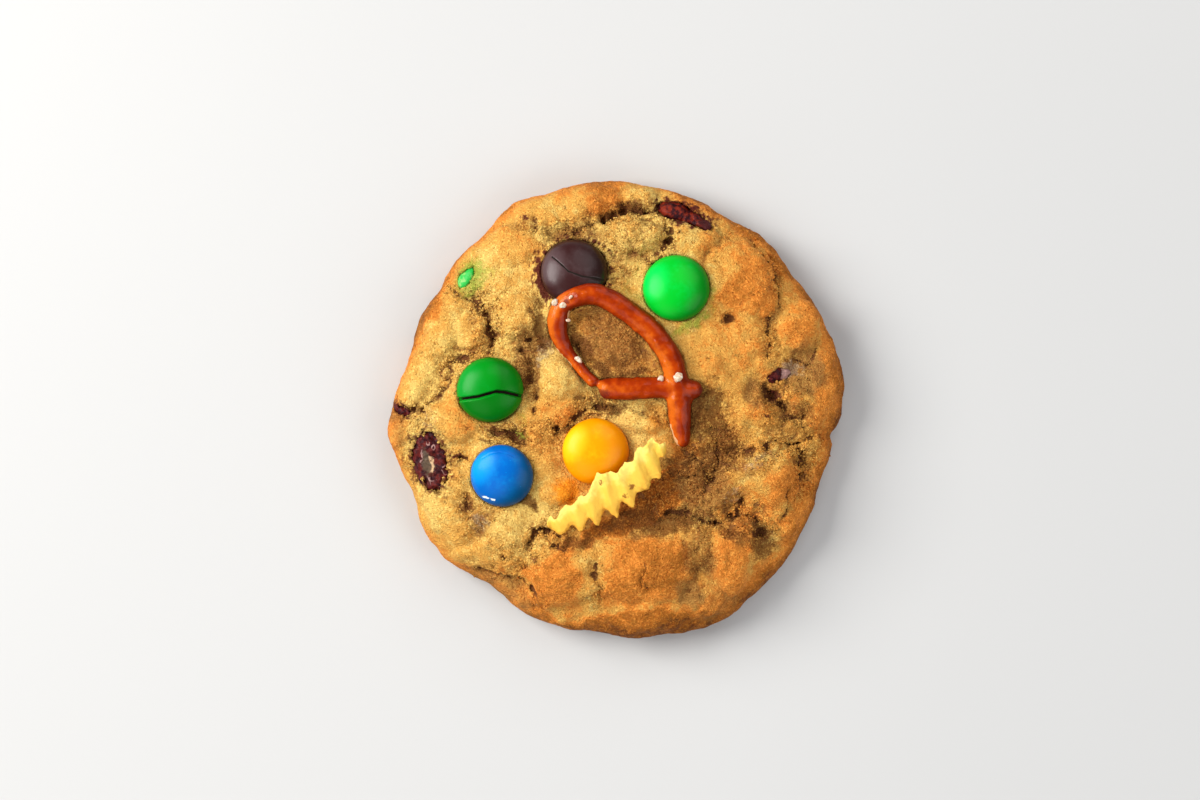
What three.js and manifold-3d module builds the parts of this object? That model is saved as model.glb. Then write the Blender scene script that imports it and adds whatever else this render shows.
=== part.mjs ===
// A kitchen sink cookie: a thick drop cookie of lumpy golden dough, with sugar-shelled
// chocolate drops, a broken pretzel twist, a piece of ridged potato chip and a few chunks
// of chocolate baked into its top.
//
// Millimetres, +Z up. The origin is the centre of the flat base that the cookie rests on,
// +X is to the right and +Y away from someone who looks down on the cookie.
//
// The dough is one closed skin: a dome profile carried round a bulging outline, raised by
// lumps and cut by cracks. Everything baked into it is its own solid, and the dough is
// hollowed out round each of them with a small clearance.

import * as THREE from "three";
import { mergeVertices } from "three/addons/utils/BufferGeometryUtils.js";
import Module from "manifold-3d";

const wasm = await Module();
wasm.setup();

const DEGREE = Math.PI / 180;
const CHOCOLATE = "#3b1512";

// ---- driving dimensions, in millimetres ----

const COOKIE = {
  radius: 44.9, // the plain round outline, before its bulges
  crown: 15.2, // height of the plain dome in the middle
  widest: 4.4, // height at which the side stands out furthest
  baseInset: 3.4, // how far the flat base lies inside the outline
  domePower: 3.3, // how square the shoulder of the dome is
};
const GAP = 0.3; // clearance between the dough and what is baked into it
const SKIN_CELLS = 52; // cells across the dough's skin, from edge to edge
const LUMP_BLEND = 0.5; // how softly two neighbouring lumps run together
const SHOULDER = 5; // height over which the relief fades in above the widest line

// Bulges and dents of the outline: angle and half width in degrees, height.
const OUTLINE_BULGES = [
  [9, 10, 1.9],
  [27, 9, 1.0],
  [49, 8, 1.2],
  [72, 10, 0.9],
  [96, 16, 2.1],
  [117, 7, 1.9],
  [147, 5, -1.3],
  [163, 8, -1.2],
  [186, 9, 1.9],
  [216, 10, 1.5],
  [233, 6, -0.9],
  [252, 10, 0.8],
  [276, 9, 1.4],
  [296, 13, 3.0],
  [317, 9, 1.0],
  [343, 7, -1.2],
  [353.5, 1.6, -1.0],
];

// Lumps of dough: centre x and y, half length, half width, turn in degrees, height.
const LUMPS = [
  // along the rim, clockwise from the top
  [-10.5, 41.2, 12.5, 4.2, 12, 2.2],
  [5.5, 43.8, 3.8, 2.6, 0, 1.6],
  [14, 42.2, 6, 2, -24, 1.2],
  [36.8, 17.2, 6.2, 4.2, 82, 2],
  [42, 6.5, 7, 3.6, 88, 1.3],
  [38.8, 0.2, 4.6, 4, 60, 1.3],
  [31, -13, 7.6, 6.4, -60, 2.7],
  [32.5, -21.8, 5, 3.6, -35, 1.4],
  [23.5, -29.5, 8, 4.8, 82, 2.1],
  [17.5, -38.6, 5, 4.4, 30, 1.3],
  [7, -41.6, 9.5, 3.8, 4, 1.3],
  [5.2, -32.3, 11.5, 7.6, 5, 2.8],
  [-11.8, -33.6, 8, 6.8, 30, 2.3],
  [-24, -27.5, 5.6, 5, 30, 1.7],
  [-29.5, -30, 4.6, 2.6, -38, 1.1],
  [-35, -20.5, 9, 4.6, -64, 1.5],
  [-43.6, -6.6, 6.2, 2.4, -74, 1.3],
  [-40.6, 6.2, 7.6, 3.5, 68, 1.9],
  [-36.6, 13.6, 5.6, 3.4, 62, 1.8],
  [-35, 20.4, 5.6, 4.2, 50, 1.9],
  [-27.6, 31, 5.4, 4.8, 40, 1.5],
  [-20, 34, 7, 4.4, 10, 1.8],
  // across the top
  [3.2, 35.6, 7.2, 3.8, -5, 1.9],
  [15.6, 35, 5.8, 3.6, -14, 1.8],
  [24.8, 26.4, 9.4, 7.6, -58, 2.5],
  [22, 11.6, 10, 8, 20, 1.4],
  [29.4, -0.8, 4, 3.2, -20, 1.3],
  [23.6, -3, 4.6, 4, 0, 0.7],
  [22.6, -16, 5.2, 3.6, 40, 1.4],
  [-13.6, -27.2, 4.4, 2.8, 18, 1.4],
  [-32, -14.6, 3.6, 3.2, 0, 1],
  [-33.2, -1.6, 5.2, 4.6, 0, 1.9],
  [-29.4, 16.6, 4.4, 3.8, 60, 1.6],
  [-20.4, 19.2, 5.8, 5.2, 60, 2],
  [-24.6, 26, 5.2, 3.6, 12, 1.3],
  [-11.6, 6.4, 5.4, 5.2, 60, 2.4],
  [-12, 0.4, 5, 3.8, 0, 1.5],
  [-1.8, 14.2, 6.4, 4.8, -32, 1.5],
  [4.8, -2.6, 4.6, 2.8, -8, 1.7],
  [-15.4, -9.4, 3.6, 5.2, 4, 1.1],
  [-12.6, -17.2, 3.6, 3, 30, 1.3],
  [15.2, -11.4, 4, 3, 0, 0.8],
];

// Low places, in the same columns; the height is a depth.
const HOLLOWS = [
  [10.6, -17.6, 10.5, 4.6, 30, 1.7],
  [19.4, -8.6, 5, 4, 60, 0.8],
  [-0.8, 28, 4, 5, 0, 0.9],
  [35.6, 7.2, 4, 2.8, 20, 0.9],
  [-17.4, 8.6, 2.8, 5.6, 0, 1.3],
  [-22, -35.8, 7.5, 2.2, -30, 1.3],
  [16.6, -29.6, 2.8, 6, 0, 0.9],
];

// Cracks and creases: half width, depth, then the points that each runs through.
const CRACKS = [
  [0.9, 1.8, [-13, 36.2, -8, 37, -4, 38.4, -0.4, 40.4, 2, 41.4, 5, 41, 8, 40.2]],
  [0.7, 1.4, [10, 38.4, 10.3, 35.6, 9.6, 33.2, 6.2, 30.8]],
  [0.6, 1.2, [27.4, 35, 29.6, 31, 31.6, 28.2, 32.6, 24.8, 32.8, 20.8]],
  [0.6, 0.8, [31.2, 20, 30.4, 15, 30, 11.4]],
  [0.7, 1.2, [33, 1, 34.4, -1.8, 37.4, -1, 38, -3.4]],
  [0.7, 1.4, [25.6, -7.8, 29, -7.6, 32, -6.4, 36, -6.6, 40, -5.4, 45, -5]],
  [0.9, 1.6, [37, -8, 38, -11.6, 36.6, -15.8]],
  [0.8, 1.2, [20.2, -6.4, 20.6, -11, 18.8, -14.6, 16.6, -17.6]],
  [0.7, 1.2, [10, -20.8, 15, -21, 18.6, -23.2, 22, -22.6, 24.6, -20.8, 25.2, -18.4]],
  [0.9, 1.5, [26, -21, 28.2, -22, 28.6, -24.4, 30, -25.2]],
  [0.6, 1.2, [-18, -27, -17, -25, -15, -24.2, -12, -24.8]],
  [0.5, 1, [-4.4, -30.6, -4.6, -34, -3.4, -38]],
  [0.7, 1.6, [-35.4, -9.4, -33, -9.2, -30.6, -9.8]],
  [0.9, 1.4, [-13, -3.6, -10.4, -3, -7.4, -0.2, -4.6, 1, -1.2, 0.8]],
  [0.9, 1.6, [-27.6, 22, -26.2, 18.4, -25.4, 15, -26.4, 12.4]],
  [0.8, 1.3, [-30.8, 10.9, -34.4, 10.2, -34, 6, -36.4, 3, -40, 0.2, -44.4, 0.4]],
  [0.8, 1.3, [-24.6, -3.6, -22, -4.4, -19.4, -6.2]],
  [0.7, 1, [-31, -17, -29.8, -21.6]],
  [0.7, 1.1, [-29, -32.4, -24, -33.6, -19.6, -34.6, -16, -38]],
];

// Sugar-shelled chocolate drops: colour, centre, lean of the face towards +X and +Y in
// degrees, how far the dough lies below the drop's widest line, the crack in its shell, and
// the size of one that is smaller than the rest.
const DROP = { radius: 6.75, halfHeight: 3.4, power: 2.15 };
const DROPS = {
  candy_brown: {
    colour: "#3a2024",
    at: [-8.7, 28, 14.6],
    lean: [4, 12],
    sunk: 0.2,
    crack: [-4.6, 2.6, -1.4, -0.6, 1.4, -1.6, 5.2, -1.8],
  },
  candy_green_right: {
    colour: "#00a41c",
    at: [11.9, 24.8, 15.5],
    lean: [0, 9],
    sunk: 0.3,
  },
  candy_green_left: {
    colour: "#009a1c",
    at: [-25.7, 4.1, 15.3],
    lean: [2, -2],
    sunk: 0.4,
    crack: [-6.4, -1.8, -2.6, -1.2, 1.4, -0.1, 3.2, -0.3, 6.4, -1.1],
  },
  candy_blue: {
    colour: "#0076dc",
    at: [-23.3, -13.1, 15.2],
    lean: [-5, -11],
    size: 0.94,
    sunk: 0.4,
  },
  candy_yellow: {
    colour: "#ffb800",
    at: [-4.4, -8.2, 15.3],
    lean: [4, -4],
    sunk: 0.5,
  },
};
const SHELL_CRACK = { width: 0.7, depth: 1.1 };

// A sliver of a further green drop that shows near the left edge: centre, half sizes, turn,
// and how steeply it rises towards +X and +Y, as the dough does there.
const GREEN_SLIVER = {
  at: [-30.7, 27.1, 10.2],
  half: [2.4, 1.3, 1.1],
  turn: 58,
  slope: [0.4, -0.2],
};

// Chocolate chunks, level with the dough: centre, half sizes, turn in degrees, slope, and the
// seed of their bumps.
const CHUNKS = {
  chocolate_left: {
    at: [-38, -10.2, 10.2],
    half: [6.3, 3.5, 1.5],
    turn: -78,
    slope: [0.4, 0.1],
    seed: 1,
  },
  chocolate_right: {
    at: [32.6, 7.2, 11.8],
    half: [2.6, 1.3, 1],
    turn: 20,
    slope: [-0.3, -0.05],
    seed: 4,
  },
  chocolate_rim: {
    at: [-43.7, 0, 7.1],
    half: [2, 1, 1],
    turn: -30,
    slope: [0.6, 0],
    seed: 5,
  },
};
// The long chunk at the top edge, thick at one end: x, y, z and radius along its middle.
const CHOCOLATE_STREAK = [
  [8.7, 41.1, 9.1, 1.2],
  [10.6, 40.9, 8.5, 1.8],
  [12.9, 40.3, 8.3, 1.8],
  [15.2, 39.1, 8.7, 1.3],
  [17.2, 38, 9.6, 1.1],
  [18.9, 37.2, 10.4, 0.8],
];
const STREAK_SLOPE = [0, -0.5];

// Centre lines of the pretzel's two strands: x, y, z and radius at each point.
const PRETZEL_LOOP = [
  [-4.1, 5.2, 15.9, 1.3],
  [-6.4, 7.4, 15.5, 1.2],
  [-9.1, 10.8, 15.4, 1.25],
  [-11, 13.4, 15.6, 1.55],
  [-12, 16, 16, 1.95],
  [-12, 18.8, 16.4, 2.1],
  [-10.9, 21.4, 17.1, 2],
  [-8.4, 22.9, 17.9, 2.05],
  [-4.6, 23.5, 18, 2.25],
  [-1, 22.1, 17.6, 2.3],
  [2.6, 19.7, 17.2, 2.3],
  [6.2, 16.8, 17.2, 2.35],
  [9.4, 13, 17.2, 2.35],
  [11.1, 9.6, 17, 2.4],
  [12, 6, 16.9, 2.4],
  [12.4, 2, 16.6, 2.5],
  [12.6, -1.6, 16, 2.35],
  [13, -4.8, 15.3, 1.8],
  [13.4, -7.4, 14.8, 1.1],
];
const PRETZEL_BAR = [
  [-3.9, 4.5, 15.9, 1.9],
  [-1, 4.5, 16.2, 2.25],
  [3, 4.5, 16.5, 2.3],
  [7.5, 4.7, 16.7, 2.2],
  [12.4, 4.5, 16.7, 2.3],
  [15.4, 4.3, 16.4, 1.9],
  [17.1, 4.1, 16, 1.5],
];
// How far the dough lies below the pretzel's centre line, and how wide it settles to it, in
// radii of the strand.
const PRETZEL_SEAT = { sunk: 0.7, reach: 1.5 };
// How a strand is divided, and how its ends are rounded.
const STRAND = { sides: 8, stepLength: 1.7, roundEnd: 1.4, tip: 0.5 };

// Salt grains on the pretzel: centre, half sizes, turn in degrees.
const SALT = [
  { at: [12.2, 6.8, 18.9], half: [1.1, 0.85, 0.8], turn: 40 },
  { at: [8.7, 6.5, 18], half: [0.75, 0.6, 0.6], turn: 10 },
  { at: [-12.6, 21.9, 18.2], half: [0.75, 0.6, 0.7], turn: 60 },
  { at: [-11, 21.2, 18.8], half: [0.8, 0.6, 0.5], turn: 20 },
  { at: [-7.9, 10.4, 16.5], half: [0.9, 0.5, 0.5], turn: -36 },
];

// The ridged chip: x and y of its upper edge, then of its lower edge, at each crest and furrow
// in turn. Its ridges run across from one edge to the other.
const CHIP_EDGES = [
  [-14.3, -22.4, -14.2, -23.4],
  [-13.6, -21.3, -12.8, -24.2],
  [-12.5, -21.8, -11, -24.9],
  [-10.7, -19.1, -9.2, -22.9],
  [-8.9, -18.9, -7.2, -24.3],
  [-7.6, -17.1, -5.8, -21.7],
  [-6, -16.8, -3.9, -23],
  [-4.3, -12.7, -2.4, -19.9],
  [-3, -12.7, -0.1, -21.6],
  [-1.4, -12.2, 0.8, -18.3],
  [0.1, -12.5, 3.2, -19.5],
  [1.4, -10.3, 3.9, -16.6],
  [3.1, -10.1, 6.4, -15.7],
  [4.2, -7.5, 7, -13.7],
  [5.6, -7.1, 8.8, -13.2],
  [6.9, -5.4, 8.4, -9.6],
  [8.3, -6.7, 9.3, -9.2],
  [9.7, -6.3, 10, -8],
];
// Heights of the chip's middle: x and z, rising to where it lies on the yellow drop.
const CHIP_HEIGHTS = [
  [-13.5, 15.4],
  [-7.5, 17],
  [-0.8, 18],
  [5, 18],
  [9.9, 17.3],
];
const CHIP = {
  cellsAcross: 3,
  ridgeHeight: 0.25,
  thickness: 1.1,
  fall: 0.15, // how steeply a ridge runs down towards the lower edge
};

// ---- small helpers ----

const clamp01 = (t) => Math.min(1, Math.max(0, t));
const smoothstep = (low, high, t) => {
  const s = clamp01((t - low) / (high - low));
  return s * s * (3 - 2 * s);
};

// The larger of two heights, with the corner between them rounded over a height k.
function softMax(a, b, k) {
  const h = clamp01(0.5 + (a - b) / (2 * k));
  return b + (a - b) * h + k * h * (1 - h);
}

// A point in the frame of an ellipse, as a share of its half axes.
function ellipseDistance(x, y, [cx, cy, halfLength, halfWidth, turn]) {
  const c = Math.cos(turn * DEGREE);
  const s = Math.sin(turn * DEGREE);
  const u = ((x - cx) * c + (y - cy) * s) / halfLength;
  const v = ((y - cy) * c - (x - cx) * s) / halfWidth;
  return Math.hypot(u, v);
}

// Distance from a point to a line through the points [x0, y0, x1, y1, ...].
function polylineDistance(x, y, points) {
  let nearest = Infinity;
  for (let i = 0; i + 3 < points.length; i += 2) {
    const [ax, ay, bx, by] = points.slice(i, i + 4);
    const lengthSquared = (bx - ax) ** 2 + (by - ay) ** 2;
    const t = clamp01(((x - ax) * (bx - ax) + (y - ay) * (by - ay)) / lengthSquared);
    nearest = Math.min(nearest, Math.hypot(x - ax - t * (bx - ax), y - ay - t * (by - ay)));
  }
  return nearest;
}

// A geometry with shared vertices as a solid that can be joined and cut.
function solidFrom(geometry) {
  const bare = geometry.clone();
  bare.deleteAttribute("normal");
  bare.deleteAttribute("uv");
  const merged = mergeVertices(bare, 1e-3);
  return new wasm.Manifold(
    new wasm.Mesh({
      numProp: 3,
      vertProperties: new Float32Array(merged.attributes.position.array),
      triVerts: new Uint32Array(merged.index.array),
    }),
  );
}

function meshFrom(solid, name, colour, roughness) {
  const { vertProperties, triVerts } = solid.getMesh();
  const geometry = new THREE.BufferGeometry()
    .setAttribute("position", new THREE.BufferAttribute(vertProperties, 3))
    .setIndex(new THREE.BufferAttribute(triVerts, 1));
  geometry.computeVertexNormals();
  const material = new THREE.MeshStandardMaterial({ color: colour, roughness, metalness: 0 });
  const mesh = new THREE.Mesh(geometry, material);
  mesh.name = name;
  return mesh;
}

// The value at x of a line through points [x, value], level beyond its ends.
function valueAt(points, x) {
  const i = points.findIndex(([px]) => px >= x);
  if (i < 1) return points.at(i)[1];
  const [[ax, a], [bx, b]] = points.slice(i - 1, i + 1);
  return a + ((b - a) * (x - ax)) / (bx - ax);
}

// Scraps that a cut leaves loose are dropped.
const largestPiece = (solid) => solid.decompose().sort((a, b) => b.volume() - a.volume())[0];

// A smooth line through points [x, y, z, radius]: what it returns gives the centre, the
// heading and the radius at a share of its length.
function smoothLine(points) {
  const line = new THREE.CatmullRomCurve3(points.map(([x, y, z]) => new THREE.Vector3(x, y, z)));
  const widths = new THREE.CatmullRomCurve3(points.map(([, , , r], i) => new THREE.Vector3(i, r, 0)));
  const at = (share) => {
    const t = line.getUtoTmapping(share);
    return { centre: line.getPoint(t), along: line.getTangent(t), radius: widths.getPoint(t).y };
  };
  at.span = line.getLength();
  return at;
}

// A closed geometry from rings of equally many points, with a point at each end.
function ringsGeometry(rings, firstEnd, lastEnd) {
  const sides = rings[0].length;
  const positions = [...rings.flat(), firstEnd, lastEnd].flatMap((p) => p.toArray());
  const first = rings.length * sides;
  const index = [];
  rings.slice(1).forEach((_, i) => {
    for (let k = 0; k < sides; k++) {
      const a = i * sides + k;
      const b = i * sides + ((k + 1) % sides);
      index.push(a, b, a + sides, b, b + sides, a + sides);
    }
  });
  for (let k = 0; k < sides; k++) {
    const next = (k + 1) % sides;
    const last = (rings.length - 1) * sides;
    index.push(first, next, k, first + 1, last + k, last + next);
  }
  return new THREE.BufferGeometry()
    .setAttribute("position", new THREE.Float32BufferAttribute(positions, 3))
    .setIndex(index);
}

// ---- the sugar-shelled drops ----

// A lens turned about Z: a rounded profile from the lower pole to the upper one.
function lensGeometry(radius, halfHeight, power) {
  const steps = 8;
  const profile = [];
  for (let i = 0; i <= steps; i++) {
    const angle = (i / steps - 0.5) * Math.PI;
    const across = Math.max(0, Math.cos(angle)) ** (2 / power);
    profile.push(new THREE.Vector2(i % steps ? radius * across : 0, halfHeight * Math.sin(angle)));
  }
  return new THREE.LatheGeometry(profile, 20).rotateX(Math.PI / 2);
}

// The matrix that leans a drop and puts it in its place.
function dropMatrix({ at, lean }) {
  const turn = new THREE.Euler(-lean[1] * DEGREE, lean[0] * DEGREE, 0);
  return new THREE.Matrix4().makeRotationFromEuler(turn).setPosition(...at);
}

function dropSolid(drop, grow) {
  const { size = 1 } = drop;
  const lens = lensGeometry(DROP.radius * size + grow, DROP.halfHeight * size + grow, DROP.power);
  return solidFrom(lens.applyMatrix4(dropMatrix(drop)));
}

// The gap that a crack opens in a shell: an upright ribbon along the crack's line.
function crackSolid(drop) {
  const { width, depth } = SHELL_CRACK;
  const line = [];
  for (let i = 0; i < drop.crack.length; i += 2) {
    line.push(new THREE.Vector2(drop.crack[i], drop.crack[i + 1]));
  }
  const side = (offset) => line.map((p) => new THREE.Vector2(p.x, p.y + offset));
  const outline = new THREE.Shape([...side(-width / 2), ...side(width / 2).reverse()]);
  const reach = 2 * DROP.halfHeight;
  const ribbon = new THREE.ExtrudeGeometry(outline, { depth: reach, bevelEnabled: false });
  const inner = lensGeometry(DROP.radius - depth, DROP.halfHeight - depth, DROP.power);
  const groove = solidFrom(ribbon).subtract(solidFrom(inner));
  return groove.transform(dropMatrix(drop).elements);
}

// ---- the pretzel ----

// A strand along a smooth line through its points, thinning to a round end. On a slope its
// rings are sheared, so that it lies level with the dough at both its sides.
function strandSolid(points, grow, slope = [0, 0]) {
  const line = smoothLine(points);
  const steps = Math.round(line.span / STRAND.stepLength);
  const up = new THREE.Vector3(0, 0, 1);
  const rings = [];
  for (let i = 0; i <= steps; i++) {
    const { centre, along, radius } = line(i / steps);
    const across = new THREE.Vector3().crossVectors(up, along).normalize();
    const above = new THREE.Vector3().crossVectors(along, across);
    const toEnd = (Math.min(i, steps - i) * line.span) / steps;
    const round = Math.sqrt(1 - (1 - clamp01((toEnd + STRAND.tip) / STRAND.roundEnd)) ** 2);
    const ring = [];
    for (let k = 0; k < STRAND.sides; k++) {
      const angle = (k / STRAND.sides) * 2 * Math.PI;
      const reach = radius * round + grow;
      const point = centre.clone().addScaledVector(across, reach * Math.cos(angle));
      point.addScaledVector(above, reach * Math.sin(angle));
      point.z += slope[0] * (point.x - centre.x) + slope[1] * (point.y - centre.y);
      ring.push(point);
    }
    rings.push(ring);
  }
  const endPoint = (share, sign) => {
    const { centre, along } = line(share);
    return centre.addScaledVector(along, sign * (STRAND.tip + grow));
  };
  return solidFrom(ringsGeometry(rings, endPoint(0, -1), endPoint(1, 1)));
}

function grainSolid({ at, half, turn }) {
  const grain = new THREE.IcosahedronGeometry(1, 0).scale(...half);
  return solidFrom(grain.rotateZ(turn * DEGREE).translate(...at));
}

function pretzelSolid(grow) {
  const strands = strandSolid(PRETZEL_LOOP, grow).add(strandSolid(PRETZEL_BAR, grow));
  return grow ? strands : SALT.reduce((whole, grain) => whole.add(grainSolid(grain)), strands);
}

// ---- the ridged chip ----

// A rippled sheet, ruled from the upper edge to the lower one.
function chipSolid(grow) {
  const { cellsAcross, ridgeHeight, thickness, fall } = CHIP;
  const rings = CHIP_EDGES.map(([ux, uy, lx, ly], row) => {
    const span = Math.hypot(lx - ux, ly - uy);
    const ripple = row % 2 ? -1 : 1;
    const middle = valueAt(CHIP_HEIGHTS, (ux + lx) / 2) + ridgeHeight * ripple;
    const ring = [];
    for (const side of [1, -1]) {
      for (let k = 0; k <= cellsAcross; k++) {
        const share = side > 0 ? k / cellsAcross : 1 - k / cellsAcross;
        const way = share * (span + 2 * grow) - grow; // from the upper edge
        const x = ux + ((lx - ux) * way) / span;
        const y = uy + ((ly - uy) * way) / span;
        const z = middle + fall * (span / 2 - way) + side * (thickness / 2 + grow);
        ring.push(new THREE.Vector3(x, y, z));
      }
    }
    return ring;
  });
  const middle = (ring) => ring.reduce((sum, p) => sum.add(p), new THREE.Vector3()).divideScalar(ring.length);
  return solidFrom(ringsGeometry(rings, middle(rings[0]), middle(rings.at(-1))));
}

// ---- chocolate chunks and the green sliver ----

// A rounded lump with a few bumps, worked out from sines of its direction, and sheared to the
// dough's slope.
function chunkSolid({ at, half, turn, slope, seed = 0 }, grow) {
  const chunk = new THREE.IcosahedronGeometry(1, 2);
  const position = chunk.attributes.position;
  const p = new THREE.Vector3();
  for (let i = 0; i < position.count; i++) {
    p.fromBufferAttribute(position, i);
    const bump = 1 + (seed ? 0.1 * Math.sin(5 * p.x + seed) * Math.sin(6 * p.y + 2 * seed) : 0);
    position.setXYZ(
      i,
      p.x * (half[0] * bump + grow),
      p.y * (half[1] * bump + grow),
      p.z * (half[2] * bump + grow),
    );
  }
  const shear = new THREE.Matrix4().set(1, 0, 0, 0, 0, 1, 0, 0, ...slope, 1, 0, 0, 0, 0, 1);
  return solidFrom(chunk.rotateZ(turn * DEGREE).applyMatrix4(shear).translate(...at));
}

// ---- the dough ----

function outlineRadius(angle) {
  let radius = COOKIE.radius;
  for (const [centre, width, height] of OUTLINE_BULGES) {
    const off = ((angle / DEGREE - centre + 540) % 360) - 180;
    radius += height * Math.exp(-((off / width) ** 2));
  }
  return radius;
}

// The section of the plain cookie, from the middle of the top over the shoulder and down to
// the edge of the base, at even steps. Each point is [share of the radius, height].
function sectionPoints(count) {
  const { radius, crown, widest, baseInset, domePower } = COOKIE;
  const fine = [];
  for (let i = 0; i <= 200; i++) {
    const share = Math.sin((i / 200) * (Math.PI / 2));
    fine.push([share, widest + (crown - widest) * Math.sqrt(Math.max(0, 1 - share ** domePower))]);
  }
  for (let i = 1; i <= 40; i++) {
    const angle = (i / 40) * (Math.PI / 2);
    fine.push([1 - (baseInset / radius) * (1 - Math.cos(angle)), widest * (1 - Math.sin(angle))]);
  }
  const line = new THREE.CatmullRomCurve3(fine.map(([s, z]) => new THREE.Vector3(s * radius, z, 0)));
  line.arcLengthDivisions = 800;
  return line.getSpacedPoints(count).map((p) => [p.x / radius, p.y]);
}

// Height of the lumps, hollows and cracks above the plain dome.
function relief(x, y) {
  let height = 0;
  for (const lump of LUMPS) {
    const d = ellipseDistance(x, y, lump);
    if (d < 1.3) height = softMax(height, lump[5] * (1 - d ** 2.4), LUMP_BLEND);
  }
  for (const hollow of HOLLOWS) {
    height -= hollow[5] * Math.exp(-(ellipseDistance(x, y, hollow) ** 2));
  }
  for (const [halfWidth, depth, points] of CRACKS) {
    height -= depth * Math.exp(-((polylineDistance(x, y, points) / (halfWidth + 0.4)) ** 2));
  }
  return height;
}

// Slow unevenness of hand-dropped dough.
const unevenness = (x, y, z) =>
  0.3 * Math.sin(0.52 * x + 0.9 + 0.7 * Math.sin(0.31 * y)) * Math.sin(0.47 * y + 2.1 + 0.3 * z) +
  0.16 * Math.sin(1.13 * x - 0.4 * z + 1.7) * Math.sin(1.02 * y + 0.5 * z + 0.4);

// The height that the dough settles to against a drop or a strand, and how firmly.
function seats(strandPoints) {
  const found = Object.values(DROPS).map((drop) => (x, y) => {
    const [cx, cy, cz] = drop.at;
    const slope = drop.lean.map((a) => -0.7 * Math.tan(a * DEGREE));
    const level = cz - drop.sunk + slope[0] * (x - cx) + slope[1] * (y - cy);
    const distance = Math.hypot(x - cx, y - cy) / DROP.radius;
    return [level, 1 - smoothstep(1, 1.45, distance)];
  });
  found.push((x, y) => {
    let best = [0, 0];
    for (const [px, py, pz, r] of strandPoints) {
      const distance = Math.hypot(x - px, y - py) / r;
      const hold = 1 - smoothstep(1, 1 + PRETZEL_SEAT.reach, distance);
      if (hold > best[1]) best = [pz - PRETZEL_SEAT.sunk, hold];
    }
    return best;
  });
  return found;
}

// Points along both strands of the pretzel, close together, with their radius.
function strandSamples() {
  return [PRETZEL_LOOP, PRETZEL_BAR].flatMap((points) => {
    const line = smoothLine(points);
    return Array.from({ length: 61 }, (_, i) => {
      const { centre, radius } = line(i / 60);
      return [...centre.toArray(), radius];
    });
  });
}

// The skin is a square grid bent into a disc: cell rings become rings round the cookie.
function doughSolid() {
  const half = SKIN_CELLS / 2;
  const section = sectionPoints(half);
  const holds = seats(strandSamples());
  const { widest, crown } = COOKIE;
  const positions = [];
  for (let j = -half; j <= half; j++) {
    for (let i = -half; i <= half; i++) {
      const ring = Math.max(Math.abs(i), Math.abs(j));
      const quarter = Math.PI / 4;
      let angle = 0;
      if (ring && Math.abs(i) >= Math.abs(j)) angle = quarter * (j / i) + (i < 0 ? Math.PI : 0);
      else if (ring) angle = 2 * quarter - quarter * (i / j) + (j < 0 ? Math.PI : 0);
      angle = (angle + 2 * Math.PI) % (2 * Math.PI);
      const [share, height] = section[ring];
      const radius = share * outlineRadius(angle);
      const x = radius * Math.cos(angle);
      const y = radius * Math.sin(angle);
      const before = section[Math.max(0, ring - 1)];
      const after = section[Math.min(half, ring + 1)];
      const outward = Math.atan2(before[1] - after[1], (after[0] - before[0]) * COOKIE.radius);
      const onTop = ring && height < widest ? 0 : smoothstep(widest, widest + SHOULDER, height);
      const onSide = smoothstep(0, 1.5, height) * (1 - onTop);
      const push = onTop * relief(x, y) + (onTop + 0.6 * onSide) * unevenness(x, y, height);
      const lean = push * Math.sin(outward);
      let z = height + push * Math.cos(outward);
      if (height > (widest + crown) / 2) {
        for (const hold of holds) {
          const [level, share] = hold(x, y);
          z += (level - z) * share;
        }
      }
      positions.push(x + lean * Math.cos(angle), y + lean * Math.sin(angle), z);
    }
  }
  const across = SKIN_CELLS + 1;
  const index = [];
  for (let j = 0; j < SKIN_CELLS; j++) {
    for (let i = 0; i < SKIN_CELLS; i++) {
      const a = j * across + i;
      const b = a + across;
      const rising = (i < half) === (j < half);
      if (rising) index.push(a, a + 1, b + 1, a, b + 1, b);
      else index.push(a, a + 1, b, a + 1, b + 1, b);
    }
  }
  const edge = [];
  for (let i = 0; i < SKIN_CELLS; i++) edge.push(i);
  for (let j = 0; j < SKIN_CELLS; j++) edge.push(j * across + SKIN_CELLS);
  for (let i = SKIN_CELLS; i > 0; i--) edge.push(SKIN_CELLS * across + i);
  for (let j = SKIN_CELLS; j > 0; j--) edge.push(j * across);
  const middle = positions.length / 3;
  positions.push(0, 0, 0);
  edge.forEach((v, k) => index.push(middle, edge[(k + 1) % edge.length], v));
  return solidFrom(
    new THREE.BufferGeometry()
      .setAttribute("position", new THREE.Float32BufferAttribute(positions, 3))
      .setIndex(index),
  );
}

// ---- the cookie, put together ----

const cookie = new THREE.Group();
let dough = doughSolid();
let pretzel = pretzelSolid(0);
let chip = chipSolid(0);

for (const [name, drop] of Object.entries(DROPS)) {
  const whole = dropSolid(drop, 0);
  const seat = dropSolid(drop, GAP);
  cookie.add(meshFrom(drop.crack ? whole.subtract(crackSolid(drop)) : whole, name, drop.colour, 0.25));
  dough = dough.subtract(seat);
  pretzel = pretzel.subtract(seat);
  chip = chip.subtract(seat);
}
for (const [name, chunk] of Object.entries(CHUNKS)) {
  cookie.add(meshFrom(chunkSolid(chunk, 0), name, CHOCOLATE, 0.45));
  dough = dough.subtract(chunkSolid(chunk, GAP));
}
cookie.add(meshFrom(strandSolid(CHOCOLATE_STREAK, 0, STREAK_SLOPE), "chocolate_top", CHOCOLATE, 0.45));
cookie.add(meshFrom(chunkSolid(GREEN_SLIVER, 0), "candy_green_sliver", "#1fae4a", 0.4));
cookie.add(meshFrom(largestPiece(pretzel), "pretzel", "#b23c0c", 0.35));
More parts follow.
